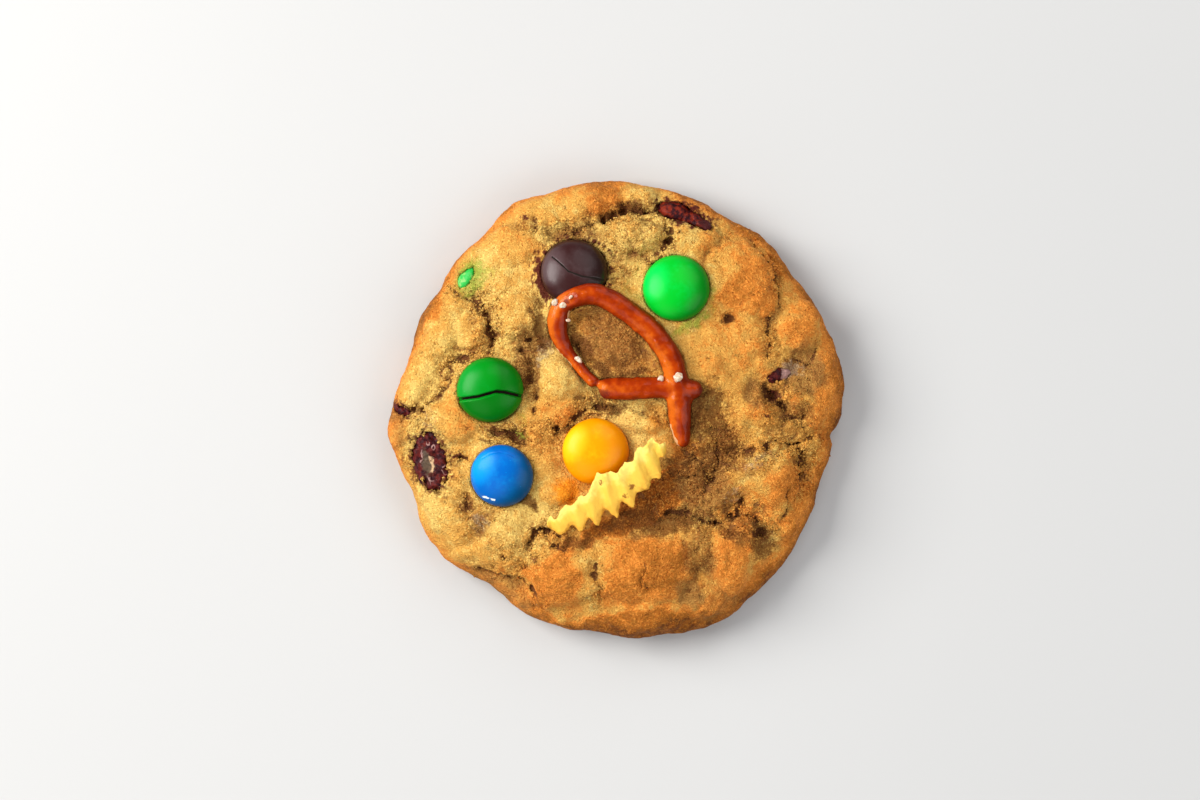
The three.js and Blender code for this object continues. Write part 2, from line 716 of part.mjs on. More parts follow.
cookie.add(meshFrom(largestPiece(chip), "ridged_chip", "#f2cf62", 0.6));
dough = dough
  .subtract(strandSolid(CHOCOLATE_STREAK, GAP, STREAK_SLOPE))
  .subtract(chunkSolid(GREEN_SLIVER, GAP))
  .subtract(pretzelSolid(GAP))
  .subtract(chipSolid(GAP));
cookie.add(meshFrom(largestPiece(dough), "cookie_dough", "#c8924c", 0.85));

export default cookie;
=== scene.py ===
# %% [markdown]
# # A kitchen sink cookie
# A thick drop cookie with a bit of everything in it: sugar-shelled chocolate drops, a pretzel
# twist, a piece of ridged potato chip and chunks of chocolate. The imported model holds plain
# solids of all of them. This lesson dresses each one in a fine surface of the same form: every
# surface is worked out with numpy as whole arrays, and every finish is a small node tree.

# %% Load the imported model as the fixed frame
import math

import bpy
import numpy as np
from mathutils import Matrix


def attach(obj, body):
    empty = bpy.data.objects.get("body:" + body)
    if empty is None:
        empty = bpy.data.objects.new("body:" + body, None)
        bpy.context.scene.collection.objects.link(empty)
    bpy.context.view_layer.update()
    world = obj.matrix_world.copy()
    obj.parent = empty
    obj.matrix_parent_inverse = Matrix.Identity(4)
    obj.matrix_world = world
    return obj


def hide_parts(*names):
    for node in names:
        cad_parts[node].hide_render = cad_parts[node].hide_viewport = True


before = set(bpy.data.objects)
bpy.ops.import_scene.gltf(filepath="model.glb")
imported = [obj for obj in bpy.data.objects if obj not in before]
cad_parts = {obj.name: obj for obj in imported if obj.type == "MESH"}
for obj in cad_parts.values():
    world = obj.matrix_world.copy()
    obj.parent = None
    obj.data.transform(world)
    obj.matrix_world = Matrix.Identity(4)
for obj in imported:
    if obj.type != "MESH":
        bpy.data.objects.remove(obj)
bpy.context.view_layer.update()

MM = 0.001  # shapes are worked out in millimetres, and meshes are made in metres
print("nodes of the frame:", sorted(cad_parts))

# %% [markdown]
# ## Tools for surfaces
# Blender can make a mesh from lists of points and faces. With tens of thousands of points the
# arrays are handed over whole, by foreach_set, which is hundreds of times faster than a loop.
# What varies over a surface, such as how browned it is, goes along as a named attribute.


# %% Make a mesh object from arrays
MASK_LIMIT = 10  # masks are cut off at plus and minus this


def mesh_object(name, points, *face_sets, masks=None):
    """An object from points in millimetres, and arrays of faces with three or four corners."""
    corners = np.concatenate([faces.ravel() for faces in face_sets]).astype(np.int32)
    sizes = np.concatenate([np.full(len(faces), faces.shape[1]) for faces in face_sets])
    starts = (np.cumsum(sizes) - sizes).astype(np.int32)
    mesh = bpy.data.meshes.new(name)
    mesh.vertices.add(len(points))
    mesh.vertices.foreach_set("co", (np.asarray(points) * MM).astype(np.float32).ravel())
    mesh.loops.add(len(corners))
    mesh.loops.foreach_set("vertex_index", corners)
    mesh.polygons.add(len(sizes))
    mesh.polygons.foreach_set("loop_start", starts)
    mesh.polygons.foreach_set("use_smooth", np.ones(len(sizes), bool))
    mesh.update(calc_edges=True)
    for mask, values in (masks or {}).items():
        layer = mesh.attributes.new(mask, "FLOAT", "POINT")
        layer.data.foreach_set("value", np.clip(values, -MASK_LIMIT, MASK_LIMIT).astype(np.float32))
    thing = bpy.data.objects.new(name, mesh)
    bpy.context.scene.collection.objects.link(thing)
    print(f"{name}: {int((sizes - 2).sum())} triangles")
    return thing


def grid_faces(rows, columns, around=False):
    """Four-cornered faces between the points of a grid, which may close on itself in columns."""
    i = np.arange(rows - 1)[:, None]
    j = np.arange(columns if around else columns - 1)[None, :]
    a, b = i * columns + j, i * columns + (j + 1) % columns
    return np.stack([a, b, b + columns, a + columns], -1).reshape(-1, 4)


# %% Curves through points
def smooth_line(points, step):
    """A smooth curve through rows of numbers, taken at even steps of its length in x, y, z.

    Between two rows the curve is the Catmull-Rom cubic: it leaves each row heading from the
    row before to the row after.
    """
    points = np.asarray(points, float)
    ends = np.vstack([2 * points[0] - points[1], points, 2 * points[-1] - points[-2]])
    t = np.linspace(0, 1, 40, endpoint=False)[:, None]
    spans = []
    for a, b, c, d in zip(ends, ends[1:], ends[2:], ends[3:]):
        bend, twist = 2 * a - 5 * b + 4 * c - d, 3 * b - a - 3 * c + d
        spans.append(0.5 * (2 * b + (c - a) * t + bend * t**2 + twist * t**3))
    fine = np.vstack(spans + [points[-1:]])
    run = np.concatenate([[0], np.cumsum(np.linalg.norm(np.diff(fine[:, :3], axis=0), axis=1))])
    at = np.linspace(0, run[-1], max(2, int(round(run[-1] / step))) + 1)
    return np.stack([np.interp(at, run, column) for column in fine.T], -1)


def line_distance(x, y, line):
    """Distance to a line through [x, y] corners, how far along it is, and its side, -1 or 1."""
    line = np.asarray(line, float).reshape(-1, 2)
    near, along, side, run = np.full(x.shape, np.inf), np.zeros(x.shape), np.ones(x.shape), 0.0
    for (ax, ay), (bx, by) in zip(line, line[1:]):
        span = math.hypot(bx - ax, by - ay)
        t = np.clip(((x - ax) * (bx - ax) + (y - ay) * (by - ay)) / span**2, 0, 1)
        away = np.hypot(x - ax - t * (bx - ax), y - ay - t * (by - ay))
        along = np.where(away < near, run + t * span, along)
        side = np.where(away < near, np.sign((x - ax) * (by - ay) - (y - ay) * (bx - ax)), side)
        near = np.minimum(near, away)
        run += span
    return near, along, side


def cos_sin(degrees):
    """Cosine and sine of an angle in degrees."""
    return math.cos(math.radians(degrees)), math.sin(math.radians(degrees))


def ellipse_distance(x, y, cx, cy, half_length, half_width, turn):
    """Distance from the middle of a turned ellipse, as a share of its half axes."""
    c, s = cos_sin(turn)
    u = ((x - cx) * c + (y - cy) * s) / half_length
    v = ((y - cy) * c - (x - cx) * s) / half_width
    return np.hypot(u, v)


def smoothstep(low, high, t):
    """0 below low, 1 above high, and an even S between them."""
    s = np.clip((t - low) / (high - low), 0, 1)
    return s * s * (3 - 2 * s)


# %% [markdown]
# ## Noise
# Baked dough is uneven at every size, from lumps to single crumbs. Gradient noise gives soft
# unevenness of one size: each corner of a cubic lattice has a random slope, and a point blends
# the slopes of the eight corners round it. Cell noise gives grains and pores: each cube of the
# lattice holds one random point, and what counts is the distance to the nearest of them.


# %% Gradient noise and cell noise
class Noise:
    """Random patterns in space that come out the same on every run."""

    def __init__(self, seed):
        rng = np.random.default_rng(seed)
        self.order = np.tile(rng.permutation(256), 4)
        slopes = rng.normal(size=(256, 3))
        self.slopes = slopes / np.linalg.norm(slopes, axis=1)[:, None]
        self.seeds = rng.random((256, 4))

    def key(self, cell):
        i, j, k = (cell & 255).T
        return self.order[self.order[self.order[i] + j] + k]

    def soft(self, points, size):
        """Gradient noise of about -1 to 1, with lumps of the given size."""
        q = points / size
        cell = np.floor(q).astype(int)
        f = q - cell
        fade = f**3 * (f * (f * 6 - 15) + 10)
        total = np.zeros(len(points))
        for corner in np.ndindex(2, 2, 2):
            share = np.prod(np.where(corner, fade, 1 - fade), axis=1)
            total += share * np.einsum("ij,ij->i", self.slopes[self.key(cell + corner)], f - corner)
        return 1.7 * total

    def cells(self, points, size):
        """Distance to the nearest grain's middle in grain sizes, and that grain's luck."""
        q = points / size
        cell = np.floor(q).astype(int)
        f = q - cell
        nearest, luck = np.full(len(points), 9.0), np.zeros(len(points))
        for offset in np.ndindex(3, 3, 3):
            corner = np.array(offset) - 1
            seeds = self.seeds[self.key(cell + corner)]
            away = np.linalg.norm(corner + seeds[:, :3] - f, axis=1)
            luck = np.where(away < nearest, seeds[:, 3], luck)
            nearest = np.minimum(nearest, away)
        return nearest, luck


noise = Noise(7)


def at_height(x, y, z=0.0):
    """Points for the noise from flat arrays."""
    return np.stack([x, y, np.broadcast_to(z, x.shape)], -1).reshape(-1, 3)


# %% [markdown]
# ## Tools for finishes
# A finish is a tree of shader nodes. Written out node by node it is long and hard to read, so
# a small class wraps a socket: `1 - pores * 0.5` then adds its Math nodes by itself. All other
# nodes come from one method that takes the node's type, its inputs and its settings.


# %% A socket that can be used in sums
class Value:
    """A number in a node tree. Arithmetic with it adds Math nodes."""

    def __init__(self, finish, socket):
        self.finish, self.socket = finish, socket

    def math(self, operation, *others, clamp=False):
        return self.finish.node("ShaderNodeMath", [self, *others], operation=operation, use_clamp=clamp)

    def __add__(self, other):
        return self.math("ADD", other)

    def __sub__(self, other):
        return self.math("SUBTRACT", other)

    def __rsub__(self, other):
        return self.finish.node("ShaderNodeMath", [other, self], operation="SUBTRACT")

    def __mul__(self, other):
        return self.math("MULTIPLY", other)

    __radd__, __rmul__ = __add__, __mul__

    def step(self, low, high):
        """0 below low, 1 above high, with a soft edge."""
        settings = {"interpolation_type": "SMOOTHSTEP"}
        return self.finish.node("ShaderNodeMapRange", [self, low, high, 0.0, 1.0], **settings)


class Finish:
    """A material and its node tree, which starts with one Principled shader."""

    def __init__(self, name, **constants):
        self.material = bpy.data.materials.new(name)
        self.material.use_nodes = True
        self.tree = self.material.node_tree
        self.shader = self.tree.nodes["Principled BSDF"]
        for socket, value in constants.items():
            self.shader.inputs[socket.replace("_", " ")].default_value = value

    def node(self, kind, inputs=(), output=0, **settings):
        """Adds a node of one type: its settings first, then its inputs, by place or by name."""
        made = self.tree.nodes.new(kind)
        for setting, value in settings.items():
            setattr(made, setting, value)
        pairs = inputs.items() if isinstance(inputs, dict) else enumerate(inputs)
        for key, value in pairs:
            if isinstance(value, Value):
                self.tree.links.new(value.socket, made.inputs[key])
            elif value is not None:
                made.inputs[key].default_value = value
        return Value(self, made.outputs[output])

    def attribute(self, name):
        return self.node("ShaderNodeAttribute", output="Fac", attribute_name=name)

    def place(self):
        """Object coordinates in millimetres."""
        where = self.node("ShaderNodeTexCoord", output="Object")
        return self.node("ShaderNodeVectorMath", [where, (1 / MM, 1 / MM, 1 / MM)], operation="MULTIPLY")

    def grain(self, size, detail=2.0, roughness=0.5):
        """Soft noise of 0 to 1 whose lumps are about this many millimetres."""
        inputs = {"Vector": self.place(), "Scale": 1 / size, "Detail": detail, "Roughness": roughness}
        return self.node("ShaderNodeTexNoise", inputs, output="Fac")

    def pores(self, size):
        """Distance from the nearest of many scattered points, in millimetres over the size."""
        inputs = {"Vector": self.place(), "Scale": 1 / size}
        return self.node("ShaderNodeTexVoronoi", inputs, output="Distance")

    def mix(self, factor, a, b, blend="MIX"):
        """Two colours mixed; a colour is a link or (red, green, blue)."""
        colour = [c if isinstance(c, Value) else (*c, 1.0) for c in (a, b)]
        made = {"data_type": "RGBA", "blend_type": blend, "clamp_factor": True}
        return self.node("ShaderNodeMix", {0: factor, 6: colour[0], 7: colour[1]}, output=2, **made)

    def set(self, socket, value):
        self.tree.links.new(value.socket, self.shader.inputs[socket])

    def bump(self, height, depth, strength=1.0):
        """Relief finer than the mesh: height of 0 to 1 stands for depth in millimetres."""
        inputs = {"Strength": strength, "Distance": depth * MM, "Height": height}
        self.set("Normal", self.node("ShaderNodeBump", inputs))


def dress(piece, finish, slot, *nodes):
    """Gives a piece its finish, hangs it under the root, and hides the nodes of the frame it stands for."""
    piece.data.materials.clear()
    piece.data.materials.append(finish.material)
    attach(piece, "root")
    if nodes:
        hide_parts(*nodes)
    return piece


# %% [markdown]
# ## Camera, light and floor
# The cookie is seen from straight above. A long lens keeps its far side from swelling. One
# broad light stands low at the left, a little behind the cookie, as a window would. Three wide
# cards fill the shadows from the other sides. Nothing bright stands overhead, where a gloss
# would mirror it to the camera as a grey veil over the colours.

# %% Camera straight above
VIEW_WIDTH = 0.2436  # metres of the table that the picture is wide
LENS = 150  # millimetres, on a film 36 mm wide
EYE_LEVEL = 0.010  # the picture's scale is true at this height
LOOK_AT = (-0.0035, 0.0022)  # the cookie lies a little right of and below the picture's middle

camera = bpy.data.objects.new("camera", bpy.data.cameras.new("camera"))
bpy.context.scene.collection.objects.link(camera)
camera.data.lens, camera.data.sensor_width = LENS, 36
camera.data.clip_start, camera.data.clip_end = 0.01, 20
camera.location = (*LOOK_AT, EYE_LEVEL + VIEW_WIDTH * LENS / 36)
bpy.context.scene.camera = camera
print("camera height", round(camera.location.z, 3), "m")


# %% Window light, cards and sky
LIGHTS = [  # name, distance in metres, azimuth from +X towards +Y, elevation, size, power, colour
    ("window", 0.9, 160, 39, 0.6, 11.8, (1.0, 0.98, 0.94)),
    ("back_card", 1.2, 60, 42, 0.9, 4.6, (0.98, 0.99, 1.0)),
    ("right_card", 1.2, 335, 40, 0.9, 5.4, (0.98, 0.99, 1.0)),
    ("front_card", 1.2, 245, 42, 0.9, 3.0, (0.98, 0.99, 1.0)),
]
SKY_COLOUR, SKY_STRENGTH = (0.97, 0.98, 1.0, 1), 0.16

for name, distance, azimuth, elevation, size, power, colour in LIGHTS:
    a, e = math.radians(azimuth), math.radians(elevation)
    light = bpy.data.objects.new(name, bpy.data.lights.new(name, "AREA"))
    bpy.context.scene.collection.objects.link(light)
    towards = (math.cos(e) * math.cos(a), math.cos(e) * math.sin(a), math.sin(e))
    light.location = [distance * f for f in towards]
    light.rotation_euler = (math.pi / 2 - e, 0, a + math.pi / 2)  # it faces the cookie
    light.data.size, light.data.energy, light.data.color = size, power, colour
    print("light", name, power, "W")

world = bpy.data.worlds.new("sky")
world.use_nodes = True
background = world.node_tree.nodes["Background"]
background.inputs["Color"].default_value = SKY_COLOUR
background.inputs["Strength"].default_value = SKY_STRENGTH
bpy.context.scene.world = world
bpy.context.scene.view_settings.view_transform = "Standard"

# %% Table
TABLE_HALF = 1500
table_finish = Finish("table_white", Roughness=0.7, Specular_IOR_Level=0.1)
cloud = table_finish.grain(220, 1.0)
table_finish.set("Base Color", table_finish.mix(cloud, (0.57, 0.57, 0.57), (0.60, 0.60, 0.60)))
corners = np.array([[-1, -1, 0], [1, -1, 0], [1, 1, 0], [-1, 1, 0]]) * TABLE_HALF
table = mesh_object("table", corners, np.array([[0, 1, 2, 3]]))
table.data.materials.append(table_finish.material)

# %% [markdown]
# ## The dough's plain form
# The dough is one skin. Seen from above, its outline is a circle with bulges and dents. Its
# section is a dome with a square shoulder down to the widest line, and a quarter round from
# there to the flat base. A square grid is bent into a disc, ring by ring, so that no cell is
# pinched in the middle, and the rings follow the section at even steps.

# %% Outline and section
COOKIE_RADIUS = 44.9
CROWN = 15.2
WIDEST = 4.4
BASE_INSET = 3.4
DOME_POWER = 3.3
OUTLINE_BULGES = [  # angle and half width in degrees, height
    (9, 10, 1.9), (27, 9, 1.0), (49, 8, 1.2), (72, 10, 0.9), (96, 16, 2.1), (117, 7, 1.9),
    (147, 5, -1.3), (163, 8, -1.2), (186, 9, 1.9), (216, 10, 1.5), (233, 6, -0.9),
    (252, 10, 0.8), (276, 9, 1.4), (296, 13, 3.0), (317, 9, 1.0), (343, 7, -1.2), (353.5, 1.6, -1.0),
]


def outline_radius(angle):
    """The cookie's radius at an angle: a circle plus a bell curve for each bulge."""
    radius = np.full(np.shape(angle), COOKIE_RADIUS)
    for centre, width, height in OUTLINE_BULGES:
        off = (np.degrees(angle) - centre + 540) % 360 - 180
        radius += height * np.exp(-((off / width) ** 2))
    return radius


def section(count):
    """Points of the plain section at even steps, as [share of the radius, height].

    Above the widest line the share s and the height h over it keep s^p + h^2 = 1.
    """
    s = np.sin(np.linspace(0, math.pi / 2, 400))
    dome = np.stack([s, WIDEST + (CROWN - WIDEST) * np.sqrt(np.maximum(0, 1 - s**DOME_POWER))], -1)
    a = np.linspace(0, math.pi / 2, 80)[1:]
    foot = np.stack([1 - BASE_INSET / COOKIE_RADIUS * (1 - np.cos(a)), WIDEST * (1 - np.sin(a))], -1)
    fine = np.vstack([dome, foot])
    steps = np.hypot(np.diff(fine[:, 0]) * COOKIE_RADIUS, np.diff(fine[:, 1]))
    run = np.concatenate([[0], np.cumsum(steps)])
    at = np.linspace(0, run[-1], count + 1)
    return np.stack([np.interp(at, run, fine[:, 0]), np.interp(at, run, fine[:, 1])], -1)


# %% A square grid bent into a disc
SKIN_CELLS = 306  # across the whole skin; the mesh stays under 200,000 triangles
half = SKIN_CELLS // 2
gi, gj = np.meshgrid(np.arange(-half, half + 1), np.arange(-half, half + 1))
ring = np.maximum(abs(gi), abs(gj))
safe_i, safe_j = np.where(gi == 0, 1, gi), np.where(gj == 0, 1, gj)
angle = np.where(
    abs(gi) >= abs(gj),
    math.pi / 4 * (gj / safe_i) + np.where(gi < 0, math.pi, 0),
    math.pi / 2 - math.pi / 4 * (gi / safe_j) + np.where(gj < 0, math.pi, 0),
) % (2 * math.pi)
plain = section(half)
share, base_z = plain[ring].transpose(2, 0, 1)
base_x = share * outline_radius(angle) * np.cos(angle)
base_y = share * outline_radius(angle) * np.sin(angle)
before, after = np.vstack([plain[:1], plain[:-1]]), np.vstack([plain[1:], plain[-1:]])
slopes = np.arctan2(before[:, 1] - after[:, 1], (after[:, 0] - before[:, 0]) * COOKIE_RADIUS)
outward = slopes[ring]
print("cell size", round(float(np.hypot(*(plain[1] - plain[0]) * (COOKIE_RADIUS, 1))), 2), "mm")

# %% [markdown]
# ## Lumps, hollows and cracks
# A drop cookie spreads as separate lumps that run together. Each lump here is a turned ellipse
# with a round top, and the soft maximum of them all keeps a crease where two of them meet.
# Cracks are broken lines cut into that. The places are warped by noise first, so that no edge
# is a true ellipse or a straight line.

# %% Where the lumps, hollows and cracks lie
LUMPS = [  # centre x and y, half length, half width, turn in degrees, height
    (-10.5, 41.2, 12.5, 4.2, 12, 2.2), (5.5, 43.8, 3.8, 2.6, 0, 1.6), (14, 42.2, 6, 2, -24, 1.2),
    (36.8, 17.2, 6.2, 4.2, 82, 2.0), (42, 6.5, 7, 3.6, 88, 1.3), (38.8, 0.2, 4.6, 4, 60, 1.3),
    (31, -13, 7.6, 6.4, -60, 2.7), (32.5, -21.8, 5, 3.6, -35, 1.4), (23.5, -29.5, 8, 4.8, 82, 2.1),
    (17.5, -38.6, 5, 4.4, 30, 1.3), (7, -41.6, 9.5, 3.8, 4, 1.3), (5.2, -32.3, 11.5, 7.6, 5, 2.8),
    (-11.8, -33.6, 8, 6.8, 30, 2.3), (-24, -27.5, 5.6, 5, 30, 1.7), (-29.5, -30, 4.6, 2.6, -38, 1.1),
    (-35, -20.5, 9, 4.6, -64, 1.5), (-43.6, -6.6, 6.2, 2.4, -74, 1.3), (-40.6, 6.2, 7.6, 3.5, 68, 1.9),
    (-36.6, 13.6, 5.6, 3.4, 62, 1.8), (-35, 20.4, 5.6, 4.2, 50, 1.9), (-27.6, 31, 5.4, 4.8, 40, 1.5),
    (-20, 34, 7, 4.4, 10, 1.8), (3.2, 35.6, 7.2, 3.8, -5, 1.9), (15.6, 35, 5.8, 3.6, -14, 1.8),
    (24.8, 26.4, 9.4, 7.6, -58, 2.5), (22, 11.6, 10, 8, 20, 1.4), (29.4, -0.8, 4, 3.2, -20, 1.3),
    (23.6, -3, 4.6, 4, 0, 0.7), (22.6, -16, 5.2, 3.6, 40, 1.4), (-13.6, -27.2, 4.4, 2.8, 18, 1.4),
    (-32, -14.6, 3.6, 3.2, 0, 1.0), (-33.2, -1.6, 5.2, 4.6, 0, 1.9), (-29.4, 16.6, 4.4, 3.8, 60, 1.6),
    (-20.4, 19.2, 5.8, 5.2, 60, 2.0), (-24.6, 26, 5.2, 3.6, 12, 1.3), (-11.6, 6.4, 5.4, 5.2, 60, 2.4),
    (-12, 0.4, 5, 3.8, 0, 1.5), (-1.8, 14.2, 6.4, 4.8, -32, 1.5), (4.8, -2.6, 4.6, 2.8, -8, 1.7),
    (-6.2, -32.4, 3.4, 4.6, 0, 1.5), (-15.4, -9.4, 3.6, 5.2, 4, 1.1), (-12.6, -17.2, 3.6, 3, 30, 1.3),
    (15.2, -11.4, 4, 3, 0, 0.8),
]
HOLLOWS = [  # the same, with a depth
    (10.6, -17.6, 10.5, 4.6, 30, 1.7), (19.4, -8.6, 5, 4, 60, 0.8), (-0.8, 28, 4, 5, 0, 0.9),
    (35.6, 7.2, 4, 2.8, 20, 0.9), (-17.4, 8.6, 2.8, 5.6, 0, 1.3), (-22, -35.8, 7.5, 2.2, -30, 1.3),
    (16.6, -29.6, 2.8, 6, 0, 0.9), (9.5, -22.6, 8, 2.2, 5, 0.8), (-15.2, 16, 1.6, 4, 15, 0.5),
]
CRACKS = [  # half width, depth, and the corners that it runs through
    (0.9, 1.8, (-9, 36.4, -4, 38.4, -0.4, 40.4, 2, 41.4, 5, 41, 8, 40.2)),
    (0.7, 1.4, (10, 38.4, 10.3, 35.6, 9.6, 33.2, 6.2, 30.8)),
    (0.6, 1.0, (27.7, 34.8, 28.4, 32.4, 29.4, 30.4, 32.2, 27.8, 32.6, 24.2, 32.9, 21.4)),
    (0.5, 0.7, (31.2, 19.8, 30.6, 15, 30.2, 11.4)), (0.7, 1.2, (33, 1, 34.4, -1.8, 37.4, -1, 38, -3.4)),
    (0.7, 1.4, (25.6, -7.8, 29, -7.6, 32, -6.4, 36, -6.6, 40, -5.4, 45, -5)),
    (0.9, 1.6, (37, -8, 38, -11.6, 36.6, -15.8)),
    (0.8, 1.2, (20.2, -6.4, 20.6, -11, 18.8, -14.6, 16.6, -17.6)),
    (0.7, 1.2, (10, -20.8, 15, -21, 18.6, -23.2, 22, -22.6, 24.6, -20.8, 25.2, -18.4)),
    (0.9, 1.5, (26, -21, 28.2, -22, 28.6, -24.4, 30, -25.2)),
    (0.6, 1.2, (-18, -27, -17, -25, -15, -24.2, -12, -24.8)),
    (0.4, 0.7, (-4.2, -31.2, -4.7, -33.4, -4.1, -35, -3.3, -37.6)),
    (0.6, 0.9, (-35.4, -9.4, -33, -9.2, -30.6, -9.8)),
    (0.9, 1.4, (-13, -3.6, -10.4, -3, -7.4, -0.2, -4.6, 1, -1.2, 0.8)),
    (0.9, 1.6, (-27.6, 22, -26.2, 18.4, -25.4, 15, -26.4, 12.4)),
    (0.8, 1.3, (-30.8, 10.9, -34.4, 10.2, -34, 6, -36.4, 3, -40, 0.2, -44.4, 0.4)),
    (0.8, 1.3, (-24.6, -3.6, -22, -4.4, -19.4, -6.2)), (0.7, 1.0, (-31, -17, -29.8, -21.6)),
    (0.7, 1.1, (-29, -32.4, -24, -33.6, -19.6, -34.6, -16, -38)),
    (0.5, 0.8, (13.5, -8, 17.2, -10.4, 18, -13.5)), (0.5, 0.7, (-15, -24.5, -13, -27, -10.5, -28.5)),
    (0.4, 0.5, (5.4, -30.6, 5, -33, 5.6, -35)), (0.5, 0.7, (33.5, -16, 34.4, -19.4, 33, -22.4)),
    (0.5, 0.6, (-33.4, 24, -30.6, 22.4, -27.2, 22)), (0.4, 0.5, (40.6, 12.4, 39, 9.4, 36, 10.4)),
]
PITS = [  # small holes: centre, half sizes, turn, depth
    (-31.4, 10.8, 1.3, 0.5, 5, 1.0), (-25.8, 11.6, 0.6, 0.4, 0, 0.8), (-17.9, 6.3, 0.8, 0.9, 0, 1.1),
    (-16.4, 2.4, 0.5, 0.5, 0, 0.9), (-16.7, -0.2, 0.45, 0.6, 0, 0.8), (-24.1, -4.3, 1.0, 0.35, -10, 0.8),
    (-19.9, -6.3, 0.5, 0.4, 0, 0.7), (-39.3, 0, 0.5, 0.35, 20, 0.6), (-40.8, -1.6, 0.3, 0.5, 0, 0.6),
    (-30.2, -3.7, 0.9, 0.6, -30, 0.5), (31, 3.4, 1.9, 1.2, -35, 2.2), (33.3, 1.2, 0.8, 1.6, 35, 1.6),
    (37.9, -9.6, 0.75, 1.8, 20, 1.2), (36.4, -14, 0.4, 0.8, 0, 0.6), (25.2, -19.6, 0.6, 0.6, 0, 1.0),
    (28.2, -21.5, 0.9, 0.45, -10, 0.9), (28.6, -24.8, 1.6, 0.65, -5, 1.0), (22.4, 19, 1.0, 0.95, 10, 1.5),
    (21.1, 17.9, 0.35, 0.3, 0, 0.6), (25.3, 19.9, 0.35, 0.3, 0, 0.5), (24.8, 21.4, 0.5, 0.35, 40, 0.5),
    (15, -13.4, 1.2, 0.35, 15, 0.8), (-5.4, 2.4, 0.5, 0.5, 0, 0.7), (-12.6, -4.2, 0.4, 0.3, 0, 0.6),
    (4.8, -0.2, 1.0, 0.4, 0, 0.6), (22.4, 1.4, 0.4, 0.3, 0, 0.5), (24.4, -8.6, 0.35, 0.35, 0, 0.6),
    (-22.8, -29.6, 0.6, 0.5, 0, 0.8), (-25.3, -31.8, 0.35, 0.3, 0, 0.5), (-27.8, 21.3, 0.6, 0.9, -30, 1.0),
    (-29.4, 23.2, 0.4, 0.4, 0, 0.6), (-17.3, 20.4, 0.4, 0.35, 0, 0.6), (-16, 19.3, 0.4, 0.4, 0, 0.6),
    (-20.4, 16.6, 0.4, 0.4, 0, 0.6), (-18, 14.4, 0.5, 0.6, 0, 0.9), (-19.5, 12.2, 0.6, 0.6, 0, 0.9),
    (-21, 12.7, 0.4, 0.5, 0, 0.7), (6.8, 30, 1.2, 0.5, 20, 0.8), (11, 36.6, 0.5, 0.9, 20, 0.9),
    (12.4, 35.9, 0.35, 0.35, 0, 0.6), (9.6, 33.5, 0.35, 0.5, 0, 0.7), (-16.4, 37.9, 0.5, 1.0, 10, 0.7),
    (1.3, 41.8, 0.6, 1.2, 20, 1.0), (4, 40.7, 1.5, 0.55, -10, 1.0), (18.3, 10.5, 0.35, 0.3, 0, 0.5),
    (4.4, -34.1, 0.3, 0.9, 0, 0.6), (-16.9, -19.7, 0.35, 0.3, 0, 0.5), (30.6, 13.4, 0.35, 0.6, 0, 0.6),
    (-38.6, 11.2, 0.5, 0.3, 30, 0.5), (-11, 33.9, 1.3, 0.4, -10, 0.7), (-8.2, 12.6, 0.4, 0.9, 30, 0.8),
]


# %% Relief from the lists
def soft_max(a, b, k):
    """The larger of two heights, with the corner between them rounded over a height k."""
    h = np.clip(0.5 + (a - b) / (2 * k), 0, 1)
    return b + (a - b) * h + k * h * (1 - h)


def warped(x, y, amount, size, seed_height):
    """The places x, y moved about by noise."""
    dx = noise.soft(at_height(x, y, seed_height), size).reshape(x.shape)
    dy = noise.soft(at_height(x, y, seed_height + 40), size).reshape(x.shape)
    return x + amount * dx, y + amount * dy


LUMP_GAIN, LUMP_POWER = 1.08, 3.2  # a lump's height falls off with this power of the distance
CREASE_ROUNDING = 0.4

wx, wy = warped(*warped(base_x, base_y, 1.1, 7, 3), 0.45, 2.2, 11)
lump_height = np.zeros(wx.shape)
for *ellipse, height in LUMPS:
    d = ellipse_distance(wx, wy, *ellipse)
    cap = LUMP_GAIN * height * (1 - np.minimum(d, 1.3) ** LUMP_POWER)
    lump_height = soft_max(lump_height, cap, CREASE_ROUNDING)
hollow_depth = np.zeros(wx.shape)
for *ellipse, depth in HOLLOWS:
    hollow_depth += depth * np.exp(-(ellipse_distance(wx, wy, *ellipse) ** 2))

cx, cy = warped(base_x, base_y, 0.55, 1.8, 23)
opening, near_crack, core, crack_there = (np.zeros(wx.shape) for _ in range(4))
nearest, crack_line = np.full(wx.shape, 9.0), np.full(wx.shape, 6.0)
for index, (half_width, depth, corners) in enumerate(CRACKS):
    away, along, side = line_distance(cx, cy, corners)
    beads = noise.soft(at_height(along, 0 * along, 60 + 9 * index), 1.5).reshape(wx.shape)
    gape = smoothstep(-0.3, 0.3, beads)  # a crack opens and closes along its way
    width = half_width * (0.5 + 0.22 * gape)
    crack_line = np.where(away < nearest, side * away / width, crack_line)  # signed, for a thin line
    nearest = np.minimum(nearest, away)
    crack_there = np.maximum(crack_there, (0.6 + 0.4 * gape) * np.exp(-((away / 0.9) ** 2)))
    opening = np.maximum(opening, depth * (0.25 + 0.75 * gape) * np.exp(-((away / width) ** 2)))
    near_crack = np.maximum(near_crack, depth * np.exp(-((away / (3.2 * half_width)) ** 2)))
for *ellipse, depth in PITS:
    d = ellipse_distance(cx, cy, *ellipse)
    pit = np.exp(-((d / 1.1) ** 3))
    opening = np.maximum(opening, depth * pit)
    core = np.maximum(core, min(1, 1.05 * depth) * pit)
    near_crack = np.maximum(near_crack, 0.7 * depth * np.exp(-((d / 2.2) ** 2)))
relief = lump_height - hollow_depth - 1.1 * opening - 0.35 * near_crack
